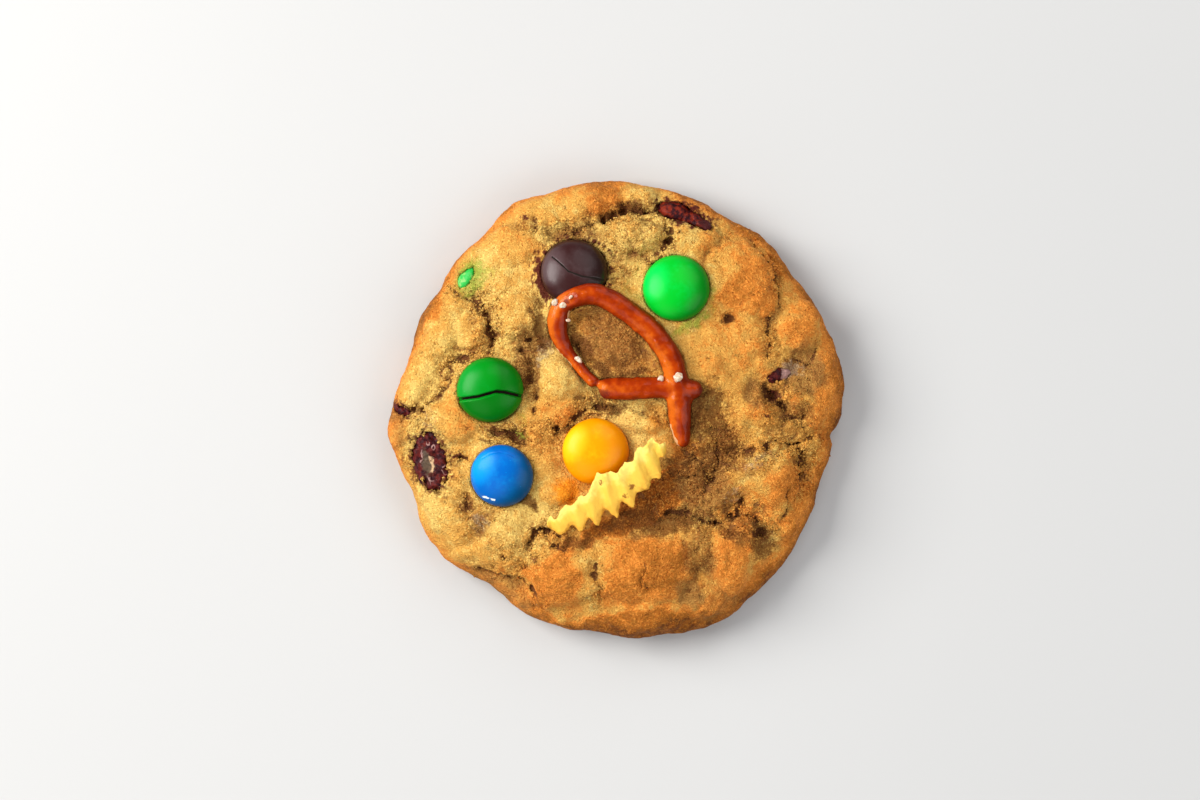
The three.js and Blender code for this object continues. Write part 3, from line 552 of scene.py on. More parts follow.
print("relief from", round(float(relief.min()), 2), "to", round(float(relief.max()), 2), "mm")

# %% [markdown]
# ## What is baked into the top
# The drops, the pretzel and the chunks come before the dough's final form, because the dough
# settles against them: it comes up to just under the widest line of each drop, and is hollowed
# out below it.

# %% Places of the toppings
DROP_RADIUS, DROP_HALF_HEIGHT, DROP_POWER = 6.75, 3.4, 2.15
DROPS = {  # centre, lean of the face towards +X and +Y in degrees, size, how deep it is sunk
    "candy_brown": ((-8.7, 28, 14.6), (4, 12), 1.0, 0.2),
    "candy_green_right": ((11.9, 24.8, 15.5), (0, 9), 1.0, 0.3),
    "candy_green_left": ((-25.7, 4.1, 15.3), (2, -2), 1.0, 0.4),
    "candy_blue": ((-23.3, -13.1, 15.2), (-5, -11), 0.94, 0.4),
    "candy_yellow": ((-4.4, -8.2, 15.3), (4, -4), 1.0, 0.5),
}
PRETZEL_LOOP = [  # x, y, z and radius along the middle of the strand
    (-4.1, 5.2, 15.9, 1.3), (-6.4, 7.4, 15.5, 1.2), (-9.1, 10.8, 15.4, 1.25), (-11, 13.4, 15.6, 1.55),
    (-12, 16, 16, 1.95), (-12, 18.8, 16.4, 2.1), (-10.9, 21.4, 17.1, 2), (-8.4, 22.9, 17.9, 2.05),
    (-4.6, 23.5, 18, 2.25), (-1, 22.1, 17.6, 2.3), (2.6, 19.7, 17.2, 2.3), (6.2, 16.8, 17.2, 2.35),
    (9.4, 13, 17.2, 2.35), (11.1, 9.6, 17, 2.4), (12, 6, 16.9, 2.4), (12.4, 2, 16.6, 2.5),
    (12.6, -1.6, 16, 2.35), (13, -4.8, 15.3, 1.8), (13.4, -7.4, 14.8, 1.1),
]
PRETZEL_BAR = [
    (-3.9, 4.5, 15.9, 1.9), (-1, 4.5, 16.2, 2.25), (3, 4.5, 16.5, 2.3), (7.5, 4.7, 16.7, 2.2),
    (12.4, 4.5, 16.7, 2.3), (15.4, 4.3, 16.4, 1.9), (17.1, 4.1, 16, 1.5),
]
CHOCOLATE_STREAK = [
    (8.7, 41.1, 9.1, 1.2), (10.6, 40.9, 8.5, 1.8), (12.9, 40.3, 8.3, 1.8), (15.2, 39.1, 8.7, 1.3),
    (17.2, 38, 9.6, 1.1), (18.9, 37.2, 10.4, 0.8),
]
STREAK_SLOPE = (0, -0.5)  # it lies level with the dough, which falls towards the rim
CHUNKS = {  # centre, half sizes, turn, slope towards +X and +Y
    "chocolate_left": ((-38, -10.2, 10.2), (6.3, 3.5, 1.5), -78, (0.4, 0.1)),
    "chocolate_right": ((32.6, 7.2, 11.8), (2.6, 1.3, 1.0), 20, (-0.3, -0.05)),
    "chocolate_rim": ((-43.7, 0, 7.1), (2, 1, 1.0), -30, (0.6, 0)),
    "candy_green_sliver": ((-30.7, 27.1, 10.2), (2.4, 1.3, 1.1), 58, (0.4, -0.2)),
}
CLEARANCE = 0.12  # between the dough and what is baked into it
PRETZEL_SUNK = 0.7  # how far the dough lies below the middle of the strand
strand = np.vstack([smooth_line(PRETZEL_LOOP, 0.5), smooth_line(PRETZEL_BAR, 0.5)])


# %% The dough's skin settles against them
def strand_nearest(x, y, line, slope=(0, 0)):
    """Distance to a strand seen from above, and its height and radius at the nearest place."""
    near, height, radius = (np.full(x.shape, v) for v in (99.0, 0.0, 1.0))
    for px, py, pz, r in line:
        away = np.hypot(x - px, y - py)
        level = pz + slope[0] * (x - px) + slope[1] * (y - py)
        closer = away / r < near / radius
        pairs = ((away, near), (level, height), (r, radius))
        near, height, radius = (np.where(closer, new, old) for new, old in pairs)
    return near, height, radius


TOP_RISE = 5  # mm above the widest line over which the side becomes the top
sway = 0.7 * np.sin(0.31 * base_y)
long_waves = 0.3 * np.sin(0.52 * base_x + 0.9 + sway) * np.sin(0.47 * base_y + 2.1 + 0.3 * base_z)
short_waves = 0.16 * np.sin(1.13 * base_x - 0.4 * base_z + 1.7) * np.sin(1.02 * base_y + 0.5 * base_z + 0.4)
uneven = long_waves + short_waves
on_top = np.where(outward > math.pi / 2, 0, smoothstep(WIDEST, WIDEST + TOP_RISE, base_z))
on_side = smoothstep(0, 1.5, base_z) * (1 - on_top)
push = on_top * relief + (on_top + 0.6 * on_side) * uneven
x = base_x + push * np.sin(outward) * np.cos(angle)
y = base_y + push * np.sin(outward) * np.sin(angle)
z = base_z + push * np.cos(outward)

top_half = base_z > (WIDEST + CROWN) / 2
settled = np.zeros(x.shape)  # how firmly the skin is held to a topping's level
for (px, py, pz), lean, size, sunk in DROPS.values():
    slope = [-0.7 * math.tan(math.radians(a)) for a in lean]
    level = pz - sunk + slope[0] * (x - px) + slope[1] * (y - py)
    rough_edge = 0.08 * noise.soft(at_height(x, y, 5), 3).reshape(x.shape)
    hold = (1 - smoothstep(1, 1.4, np.hypot(x - px, y - py) / (DROP_RADIUS * size) + rough_edge)) * top_half
    z += (level + 0.25 * (relief - 0.8) - z) * hold
    settled = np.maximum(settled, hold)
near, height, radius = strand_nearest(x, y, strand)
hold = (1 - smoothstep(1, 1.9, near / radius)) * top_half
z += (height - PRETZEL_SUNK + 0.2 * (relief - 0.8) - z) * hold
settled = np.maximum(settled, hold)

# %% [markdown]
# ## Crumb
# Close up, the skin is a mass of small grains with pores between them, rougher in the creases
# and near the cracks, and smoother on top of the lumps, where it set first. Noise of many sizes,
# from lumps of 6.5 mm down to grains of 0.75 mm, is pushed out along the skin's own normal.


# %% Normals of a grid
def grid_normals(points):
    """Unit normals of a grid of points: the cross product of its two directions."""
    u = np.gradient(points, axis=1)
    v = np.gradient(points, axis=0)
    n = np.cross(u, v)
    return n / np.maximum(np.linalg.norm(n, axis=2, keepdims=True), 1e-9)


def blurred(values, times):
    """Each value becomes the mean of itself and its four neighbours, some times over."""
    for _ in range(times):
        p = np.pad(values, 1, mode="edge")
        values = (p[1:-1, 1:-1] + p[2:, 1:-1] + p[:-2, 1:-1] + p[1:-1, 2:] + p[1:-1, :-2]) / 5
    return values


def field(values):
    """Values of the skin's points, put back in the rows of its grid."""
    return values.reshape(x.shape)


def patches(rows, skin, size=3.0, soft=0.45):
    """The strongest of many turned ellipses at each point, with ragged soft edges."""
    px, py = warped(skin[..., 0], skin[..., 1], 0.35 * size, size, 31)
    ragged = 0.3 * field(noise.soft(skin.reshape(-1, 3) + 9.3, size * 0.4))
    mask = np.zeros(px.shape)
    for *ellipse, strength in rows:
        d = ellipse_distance(px, py, *ellipse) + ragged
        mask = np.maximum(mask, strength * (1 - smoothstep(1 - soft, 1 + soft, d)))
    return mask


# %% [markdown]
# The skin is torn where the dough spread last: in the folds, round the drops and the pretzel,
# and along the cracks. There the crumb is coarse. These places are listed.

# %% Grains and pores
TORN = [  # centre x and y, half length, half width, turn, strength
    (1, 35, 12, 5, -5, 1.0), (-15, 37, 7, 2.6, 15, 0.9), (-27, 18, 3.2, 7.5, 0, 0.9),
    (-18.5, 11, 3.8, 8.5, 0, 1.0), (-29, 12, 4.5, 3, 0, 0.8), (-22, -5, 6, 3, -15, 1.0),
    (-28, -21, 5, 4.5, 0, 0.7), (-8, 14, 3, 8, 30, 0.8), (9, 0, 4.5, 3, 0, 0.8),
    (12, -15.5, 12, 6.5, 28, 0.8), (20, -8, 6, 8, 0, 0.8), (24, -22, 9, 4, -20, 0.9),
    (33, 1, 6, 6.5, 0, 0.8), (30, -9, 7, 3.4, 10, 0.9), (38, -10, 3.4, 5, 0, 0.8),
    (17, -29, 4, 8.5, 0, 0.7), (-20, -29, 8, 3.4, -20, 0.9), (-14, -25, 6, 2.8, 10, 0.9),
    (-4.5, -34, 2.4, 6, 0, 0.7), (30.5, 27, 2.4, 9, -20, 0.7), (31, 14, 2.8, 7, 0, 0.7),
    (20, 33, 6, 4, -40, 0.5), (-1.5, 28, 5.5, 6.5, 0, 0.8), (-40, -1, 4, 3.2, 0, 0.7),
    (-38, -10, 8.4, 6, -78, 0.7), (0, 14, 8.5, 5, -42, 0.9), (-13, -4.5, 7, 3.4, 15, 0.8),
    (-6, 1.4, 4, 3.4, 0, 0.9), (-34, 9, 4.4, 2.8, 30, 0.7), (-33, 24, 3, 5, -30, 0.6),
    (36, 8, 4.6, 3.6, 0, 0.7), (21, 2, 5, 6, 0, 0.4), (-24, 22, 4, 3, 0, 0.6),
]
skin = np.stack([x, y, z], -1)
normal = grid_normals(skin)
flat = skin.reshape(-1, 3)
torn = patches(TORN, skin, 4, 0.5) + 0.35 * near_crack + 0.25 * field(noise.soft(flat, 7))
torn = np.clip(torn - 0.3 * smoothstep(1.0, 2.2, lump_height), 0.12, 1) * on_top
soft_lumps = 0.46 * field(noise.soft(flat, 6.5)) + 0.34 * field(noise.soft(flat + 50, 3.4))
knobs = np.abs(field(noise.soft(flat + 17, 4.4)))
soft_lumps += (1.4 * np.minimum(knobs, 0.55) - 0.4) * (0.4 + 0.6 * torn)
seam_line = field(noise.soft(flat + 3.1, 2.2))
pillow = np.abs(seam_line)  # round clumps with a crease between them
small_pillow = np.abs(field(noise.soft(flat + 33, 1.1)))
clumps = (1.15 * np.minimum(pillow, 0.55) + 0.4 * np.minimum(small_pillow, 0.5) - 0.38) * torn
gaping = smoothstep(-0.1, 0.5, field(noise.soft(flat + 61, 3.0)))  # only some creases open
crease = (smoothstep(0.2, 0.02, pillow) + 0.5 * smoothstep(0.16, 0.02, small_pillow)) * torn * gaping
fine = 0.08 * field(noise.soft(flat, 1.3)) + 0.05 * field(noise.soft(flat, 0.75))
crumb = soft_lumps * (0.3 + 0.7 * smoothstep(6, 10, base_z)) + clumps + fine
crumb *= smoothstep(0, 3, base_z) * (1 - 0.35 * settled)
skin = skin + normal * crumb[..., None]
print("crumb relief from", round(float(crumb.min()), 2), "to", round(float(crumb.max()), 2), "mm")


# %% Sockets under the toppings
def under_lens(x, y, centre, lean, size):
    """Height of a drop's underside plus clearance, or infinity outside it."""
    radius, half_height = DROP_RADIUS * size + CLEARANCE, DROP_HALF_HEIGHT * size + CLEARANCE
    a = np.hypot(x - centre[0], y - centre[1]) / radius
    fall_x, fall_y = (math.tan(math.radians(degrees)) for degrees in lean)
    tilt = -fall_x * (x - centre[0]) - fall_y * (y - centre[1])
    depth = half_height * np.maximum(0, 1 - a**DROP_POWER) ** (1 / DROP_POWER)
    return np.where(a < 1, centre[2] + tilt - depth, np.inf)


def under_ellipsoid(x, y, centre, half_sizes, turn, slope, ragged):
    """The underside of a chunk; the dough laps over its edge in a ragged line."""
    d = ellipse_distance(x, y, centre[0], centre[1], half_sizes[0], half_sizes[1], turn)
    level = centre[2] + slope[0] * (x - centre[0]) + slope[1] * (y - centre[1])
    low = level - half_sizes[2] * np.sqrt(np.maximum(0, 1 - np.minimum(d, 1) ** 2))
    return np.where(d + ragged < 0.92, low - CLEARANCE, np.inf)


def under_strand(x, y, line, ragged=0.0, slope=(0, 0)):
    """The underside of a strand plus clearance, or infinity outside it."""
    near, height, radius = strand_nearest(x, y, line, slope)
    reach = radius + CLEARANCE
    low = height - np.sqrt(np.maximum(0, reach**2 - near**2))
    return np.where(near < reach * (1 - ragged), low, np.inf)


SOCKET_FLOOR = 6  # no socket goes deeper than this height
sx, sy, sz = (skin[..., k] for k in range(3))
bite = field(noise.soft(flat + 70, 1.6) + 0.5 * noise.soft(flat + 90, 0.8))
floor_under = under_strand(sx, sy, strand)
streak_line = smooth_line(CHOCOLATE_STREAK, 0.5)
floor_under = np.minimum(floor_under, under_strand(sx, sy, streak_line, 0.12 + 0.2 * bite, STREAK_SLOPE))
for centre, lean, size, _ in DROPS.values():
    floor_under = np.minimum(floor_under, under_lens(sx, sy, centre, lean, size))
for chunk in CHUNKS.values():
    floor_under = np.minimum(floor_under, under_ellipsoid(sx, sy, *chunk, 0.35 * bite))
in_socket = (floor_under < sz) & (base_z > SOCKET_FLOOR)
sz[:] = np.where(in_socket, np.maximum(floor_under, SOCKET_FLOOR), sz)
skin = np.stack([sx, sy, sz], -1)

# %% [markdown]
# ## How browned it is
# The colour follows the baking: the tops of the lumps and the rim brown first, and the hollows
# stay pale or go olive. Light and shade are painted in as well: shade in hollows, folds, creases,
# cracks and pits, shadows under the chip, the pretzel and the drops, and light on some lit
# slopes. Each of these is a mask that the material mixes by. Most masks start from listed
# patches, and noise breaks their edges.

# %% Patches of colour
# Browned places. The rows under the chip, at (10, -16), (0, -23.2) and (15, -10.5), paint the chip's shadow
# as deep browning.
BROWNED_AND_SHADOWED = [  # centre x and y, half length, half width, turn, strength
    (-3, 43, 9, 3.5, 6, 0.75), (14, 42.6, 7, 2.6, -24, 0.5), (26, 28, 11, 8.5, -56, 0.85),
    (37, 18, 8, 5, 80, 0.8), (43.5, 4, 13, 4, 90, 0.85), (23, 12, 13, 9, 20, 0.4),
    (5, -33, 13.5, 9, 5, 0.9), (23, -30, 9, 5.5, 80, 0.75), (32, -16, 8.5, 6.8, -60, 0.8),
    (-12, -35, 10, 8, 30, 0.9), (8, -43.4, 18, 3.6, 5, 1.5), (27, -37, 14, 5, 42, 0.95),
    (39, -22, 13, 4.5, 65, 0.8), (-33, -1, 4.5, 4, 0, 0.45), (-20, 34, 7, 4, 10, 0.35),
    (0, 13.5, 10, 6.5, -42, 0.9), (20, -10, 10, 9, 0, 0.6), (-30, -29, 7, 4, -38, 0.3),
    (-12, 0, 4, 3, 0, 0.35), (-15, -8, 5, 7, 0, 0.3), (30, 0, 9, 6, 0, 0.4), (-26, -34, 12, 4, -36, 0.4),
    (-38, 14, 3, 8, -25, 0.25), (35, 33, 12, 3, -50, 0.5), (-27, 36, 10, 2.5, 40, 0.3),
    (9, -1.5, 3, 2, 0, 0.5), (10, -16, 9, 4.2, 34, 1.95), (0, -23.2, 9, 2.4, 22, 1.9),
    (15, -10.5, 4, 4.5, 40, 1.5), (29, 5, 4, 4, 0, 0.6), (24, -20, 6, 3, -20, 0.9),
    (-40, 18.5, 2.4, 7.5, -28, 1.3), (-45, -3, 1.8, 5, 5, 0.6), (34.5, 13, 3, 6, 0, 0.4),
]
# Pale places: dough that browned least, and painted light on some lit slopes, such as the left faces of
# lumps.
CREAM_AND_LIT = [
    (16, 33, 8, 3, -35, 0.5), (19, 27, 3, 6, -30, 0.5), (-2.5, -30, 3, 3.5, 0, 0.7),
    (17.5, -31, 2.5, 5, 0, 0.4), (24, -12, 5, 2.5, 20, 0.4), (-40, 6, 6, 4, 68, 0.9),
    (-36, 16, 6, 5, 60, 0.6), (-25, 31, 7, 5, 20, 0.5), (-11.5, 8, 5, 5, 0, 0.7), (4, -2, 5.5, 3, -8, 0.9),
    (6, 44.2, 4.6, 2.8, 0, 1.1), (3, 35.5, 9, 4, -5, 0.8), (15.5, 35, 6.5, 4, -14, 0.6),
    (-20, 19, 7, 6, 60, 0.5), (-22, -27, 6, 5, 0, 0.5), (-40, -18, 4, 9, 20, 0.6),
    (-34, -26, 8, 4, -60, 0.35), (28.4, -11.2, 4.6, 2.8, 20, 1.3), (-16, -22, 6, 5, 0, 0.4),
    (21, -18, 5, 2.5, 40, 0.35), (-43, -5, 3, 6, 10, 0.4), (-9, 42, 4.8, 2.2, 8, 1.1),
    (-15, 36, 4.6, 2.6, 10, 1.5), (-36, 12, 4.4, 4.6, 60, 0.9), (-37, -3, 4.4, 3.6, 0, 1.0),
    (-17, -28, 5, 2.6, 15, 1.0), (-5.6, -33, 2.6, 4.8, 0, 1.6), (-6.4, -30.6, 2.4, 2, 0, 0.8),
    (20, 28, 3.2, 7, -32, 1.2), (27, 33, 5, 2.6, -40, 0.5), (35, 20.5, 3, 2.5, 0, 0.5),
    (-28, 36, 5, 2, 40, 0.6), (29, -15.2, 2, 1.4, -60, 0.9), (33, -20, 1.8, 1.6, 0, 0.8),
    (-36, -16, 3, 2, 0, 0.7),
]
DAMP_AND_SHADE = [  # olive places: moist dough, and painted shade in valleys, in the pretzel loop and beside the pretzel
    (18, -14, 6, 7, 0, 0.9), (38, 8, 4.5, 5, 0, 0.9), (17, -28, 3.5, 6, 0, 0.6), (20, -5, 5, 3, 0, 0.5),
    (29, 4, 4, 3, 0, 0.7), (24.5, -9, 3, 5, 20, 0.5), (33.5, -4, 4, 3, 0, 0.4), (16, 0, 1.6, 6, 0, 0.9),
    (36, 0, 4, 3, 0, 0.6), (-18.5, 10, 3, 7, 0, 0.9), (-8, 36, 6, 2.4, 10, 0.5), (2, 31, 3.5, 5, 0, 0.4),
    (-24, -36, 9, 2.5, -32, 0.6), (-21, -5.5, 5, 2.5, -15, 0.5), (26, -24, 6, 3, -20, 0.5),
    (-28, -21.5, 3, 3.5, 0, 0.5), (20, -38, 5, 6, 30, 0.4), (14.8, -36.8, 2.8, 2.8, 0, 0.9),
    (0, 9, 6, 3, 0, 0.6), (-1, 14, 9.5, 6, -42, 0.85), (-28.5, 12, 3.5, 3, 0, 0.4),
    (-44.6, -3, 2, 5, 5, 0.6), (-39.6, 18.5, 2, 7, -28, 0.3), (-17, -26, 4, 2, 20, 0.3),
]
ASHY = [  # dry pale grey smears
    (-15, 12, 1.6, 3.2, -20, 0.7), (-28, -22.5, 2, 2, 0, 0.6), (29, -10, 3.5, 1.5, 20, 0.5),
    (34.6, 8.3, 2.8, 1.4, 12, 1.0), (23.5, -17, 2.5, 1.5, 40, 0.4), (-38.3, -1.5, 2, 3, 20, 0.4),
]
PAINTED_SHADOWS = [  # painted shade and shadows, in brown: folds between lumps, and shadows of the chip, the pretzel and the drops
    (9.6, -22.8, 8.4, 2.3, 5, 0.95), (2, -21.5, 5, 1.6, 25, 0.8), (18.4, 0.4, 3.9, 5.2, 0, 0.95),
    (22, -7, 3.6, 4.6, 20, 0.8), (-15.2, 16, 1.7, 4.2, 15, 1.1), (-15.8, 21.4, 1, 2.4, 0, 0.6),
    (-18.6, -18.6, 1.4, 3, 50, 1.1), (-8, -26.6, 5, 1.6, 12, 0.8), (14.8, -36.6, 1.2, 1.0, 0, 0.8),
    (22.4, -24, 3.4, 1.4, -15, 0.7), (29.6, -27.6, 3, 2.4, 30, 0.8), (-1.2, 0.9, 3.8, 1.5, -8, 0.9),
    (3, 41.2, 4, 1.1, -8, 1.0), (-7.6, 13.4, 1.4, 4.2, 32, 1.1), (-3.2, 8, 3.2, 1.2, -28, 0.9),
    (3, 7.6, 4, 1.1, 4, 0.8), (-19.6, 37.6, 2.4, 1.2, 20, 0.5), (-18.6, 8, 1.2, 4.4, 0, 0.7),
    (-23, -5.2, 3.6, 1.2, -12, 0.7), (-26.6, -5.9, 1.6, 0.9, -20, 0.8), (-9.5, -3.4, 3.4, 1.0, 25, 0.8),
    (36.8, -1.2, 2, 1.6, 30, 0.5), (12.5, -10.5, 3.6, 2.4, 40, 0.7), (20.5, -3, 2.6, 2.6, 0, 0.7),
]
GREEN_DYE = [
    (15.2, 17.8, 5.2, 1.3, 32, 0.6), (19, 23, 0.9, 3, -10, 0.4), (-20, -4.8, 2.2, 1, -20, 0.6),
    (-29.6, 27, 2.6, 4, -20, 0.8), (-26.5, 28, 2.5, 1.5, 0, 0.35), (-19.4, -1.5, 0.8, 2, 15, 0.3),
]
ORANGE_DYE = [(-10, -16.4, 2.8, 3, 10, 1.2), (-7.5, -15.2, 2.4, 1.1, -20, 0.6), (7.6, -3.2, 2, 1.6, 0, 0.5)]
COCOA = [  # melted chocolate rubbed into the dough
    (-38, -10.2, 6.8, 4.4, -76, 0.7), (33, 7.6, 2.8, 1.2, 12, 0.4), (-15.2, 26.2, 1.0, 4.6, 14, 1.4),
    (31.6, 3.3, 1.6, 1.3, 0, 0.9), (-8.9, 28, 7.7, 7.4, 0, 0.9), (13.6, 40, 6.6, 2.6, -20, 0.9),
    (-18.8, 39.2, 0.9, 0.7, 0, 0.7), (-43.6, 0.1, 2.5, 1.2, -30, 0.8), (-33.5, -9.2, 2.6, 0.5, -6, 0.9),
    (30, -1, 0.9, 0.6, 0, 0.5), (-31.4, 10.9, 1.6, 0.5, 10, 0.8), (16.6, 4, 1.6, 2, 0, 0.5),
    (-3, 3.4, 2.2, 1.2, 0, 0.4), (-17.5, 38, 0.8, 0.5, 30, 0.5), (22.4, 18.9, 0.8, 0.8, 0, 0.5),
    (2, 41.6, 1.6, 1, 0, 0.5),
]


# %% Masks for the material
bumps = crumb + 0.6 * relief
# How concave the skin is: the hollows are painted with shade through the gap and damp masks.
hollow = np.clip((blurred(bumps, 9) - bumps) / 0.45, 0, 1)
wide = blurred(bumps, 60) - blurred(bumps, 4)
wide_hollow, crest = np.clip(wide / 0.7, 0, 1), np.clip(-wide / 0.6, 0, 1)
# The bake mask holds browning and painted light and shade: the browned rows under the chip paint its shadow,
# and some cream rows paint light on lit slopes.
bake_and_painted_shading = 0.30 + 0.16 * field(noise.soft(skin.reshape(-1, 3), 11)) + 0.1 * (lump_height - 0.8)
bake_and_painted_shading += 0.15 * crest
bake_and_painted_shading = bake_and_painted_shading + patches(BROWNED_AND_SHADOWED, skin, 5, 0.5) * 0.7 - patches(CREAM_AND_LIT, skin, 4, 0.5) * 0.45
rim_noise = field(noise.soft(skin.reshape(-1, 3) + 12, 5))
below = 1 - smoothstep(5.5, 10.0, base_z + 1.4 * rim_noise)  # the side and foot brown most
masks = {
    "bake_and_painted_shading": np.clip(bake_and_painted_shading + 0.75 * below, 0, 1.6),
    # moist places, and painted shade in the wide hollows
    "damp_and_shade": np.clip(patches(DAMP_AND_SHADE, skin, 4, 0.5) + 0.55 * wide_hollow, 0, 1),
    "ashy": patches(ASHY, skin, 2, 0.6),
    "green_dye": patches(GREEN_DYE, skin, 1.5, 0.5),
    "orange_dye": patches(ORANGE_DYE, skin, 1.5, 0.5),
    "cocoa": patches(COCOA, skin, 1.6, 0.45),
    "painted_shadow": patches(PAINTED_SHADOWS, skin, 3, 0.6),
    "crevice": core * on_top,
    "crack_line": np.clip(crack_line, -6, 6),
    "crack_there": crack_there * on_top,
    "seam_line": seam_line,
    "seam_there": torn * gaping * on_top,
    # painted shade in hollows, crumb creases and beside cracks
    "gap": np.clip(hollow * 0.5 + crease * 0.4 + near_crack * 0.12, 0, 1) * on_top,
    "torn": torn,
}

# %% [markdown]
# The base is closed with rings that shrink to the middle. It lies flat on the table.

# %% Close the base and make the dough
across = SKIN_CELLS + 1
index = np.arange(across * across).reshape(across, across)
edge = np.concatenate([index[0, :-1], index[:-1, -1], index[-1, :0:-1], index[:0:-1, 0]])
rim_xy = skin.reshape(-1, 3)[edge, :2]
BASE_RINGS = (0.93, 0.75, 0.45)  # shares of the outline
BASE_BAKE = 0.9
rings = [np.column_stack([rim_xy * f, np.zeros(len(edge))]) for f in BASE_RINGS]
points = np.vstack([skin.reshape(-1, 3), *rings, [[0, 0, 0]]])
starts = [edge] + [across * across + k * len(edge) + np.arange(len(edge)) for k in range(len(rings))]
walls = [np.stack([b, np.roll(b, -1), np.roll(a, -1), a], -1) for a, b in zip(starts, starts[1:])]
fan = np.stack([np.full(len(edge), len(points) - 1), np.roll(starts[-1], -1), starts[-1]], -1)
extra = len(points) - across * across
dough_masks = {
    key: np.append(values.ravel(), np.full(extra, BASE_BAKE if key == "bake_and_painted_shading" else 0.0))
    for key, values in masks.items()
}
dough = mesh_object("baked_dough", points, grid_faces(across, across), *walls, fan, masks=dough_masks)

# %% [markdown]
# ## Dough finish
# The bake mask runs through five colours, from cream and gold over orange and brown to dark,
# and so carries painted light and the painted shadow under the chip as well. The other masks
# lay coats over that: olive where it is damp and as painted shade in hollows, grey where it is
# dry, dye and cocoa by the toppings, and brown as painted shade and shadow in folds, gaps,
# creases and cracks. Specks and grains too small for the mesh darken the colour a little, and a
# bump node turns them into relief.

# %% Colours of baked dough
CREAM_CRUMB = (0.88, 0.61, 0.168)
GOLD_CRUMB = (0.79, 0.415, 0.085)
ORANGE_CRUST = (0.82, 0.285, 0.042)
BROWN_CRUST = (0.47, 0.155, 0.018)
DARK_CRUST = (0.15, 0.04, 0.008)
OLIVE_CRUMB = (0.37, 0.178, 0.045)
ASHY_CRUMB = (0.42, 0.33, 0.24)
GREEN_CRUMB = (0.20, 0.42, 0.04)
ORANGE_CRUMB = (0.95, 0.31, 0.012)
COCOA_CRUMB = (0.105, 0.016, 0.012)
FLECK_GLOW = (0.14, 0.085, 0.022)  # what a pale fleck adds to the colour
SPECK_SHADE = (0.54, 0.31, 0.15)  # what a speck multiplies the colour by
GAP_SHADE_BROWN = (0.29, 0.115, 0.034)
CREVICE_SHADE_BROWN = (0.15, 0.050, 0.016)
SHADOW_BROWN = (0.17, 0.062, 0.013)


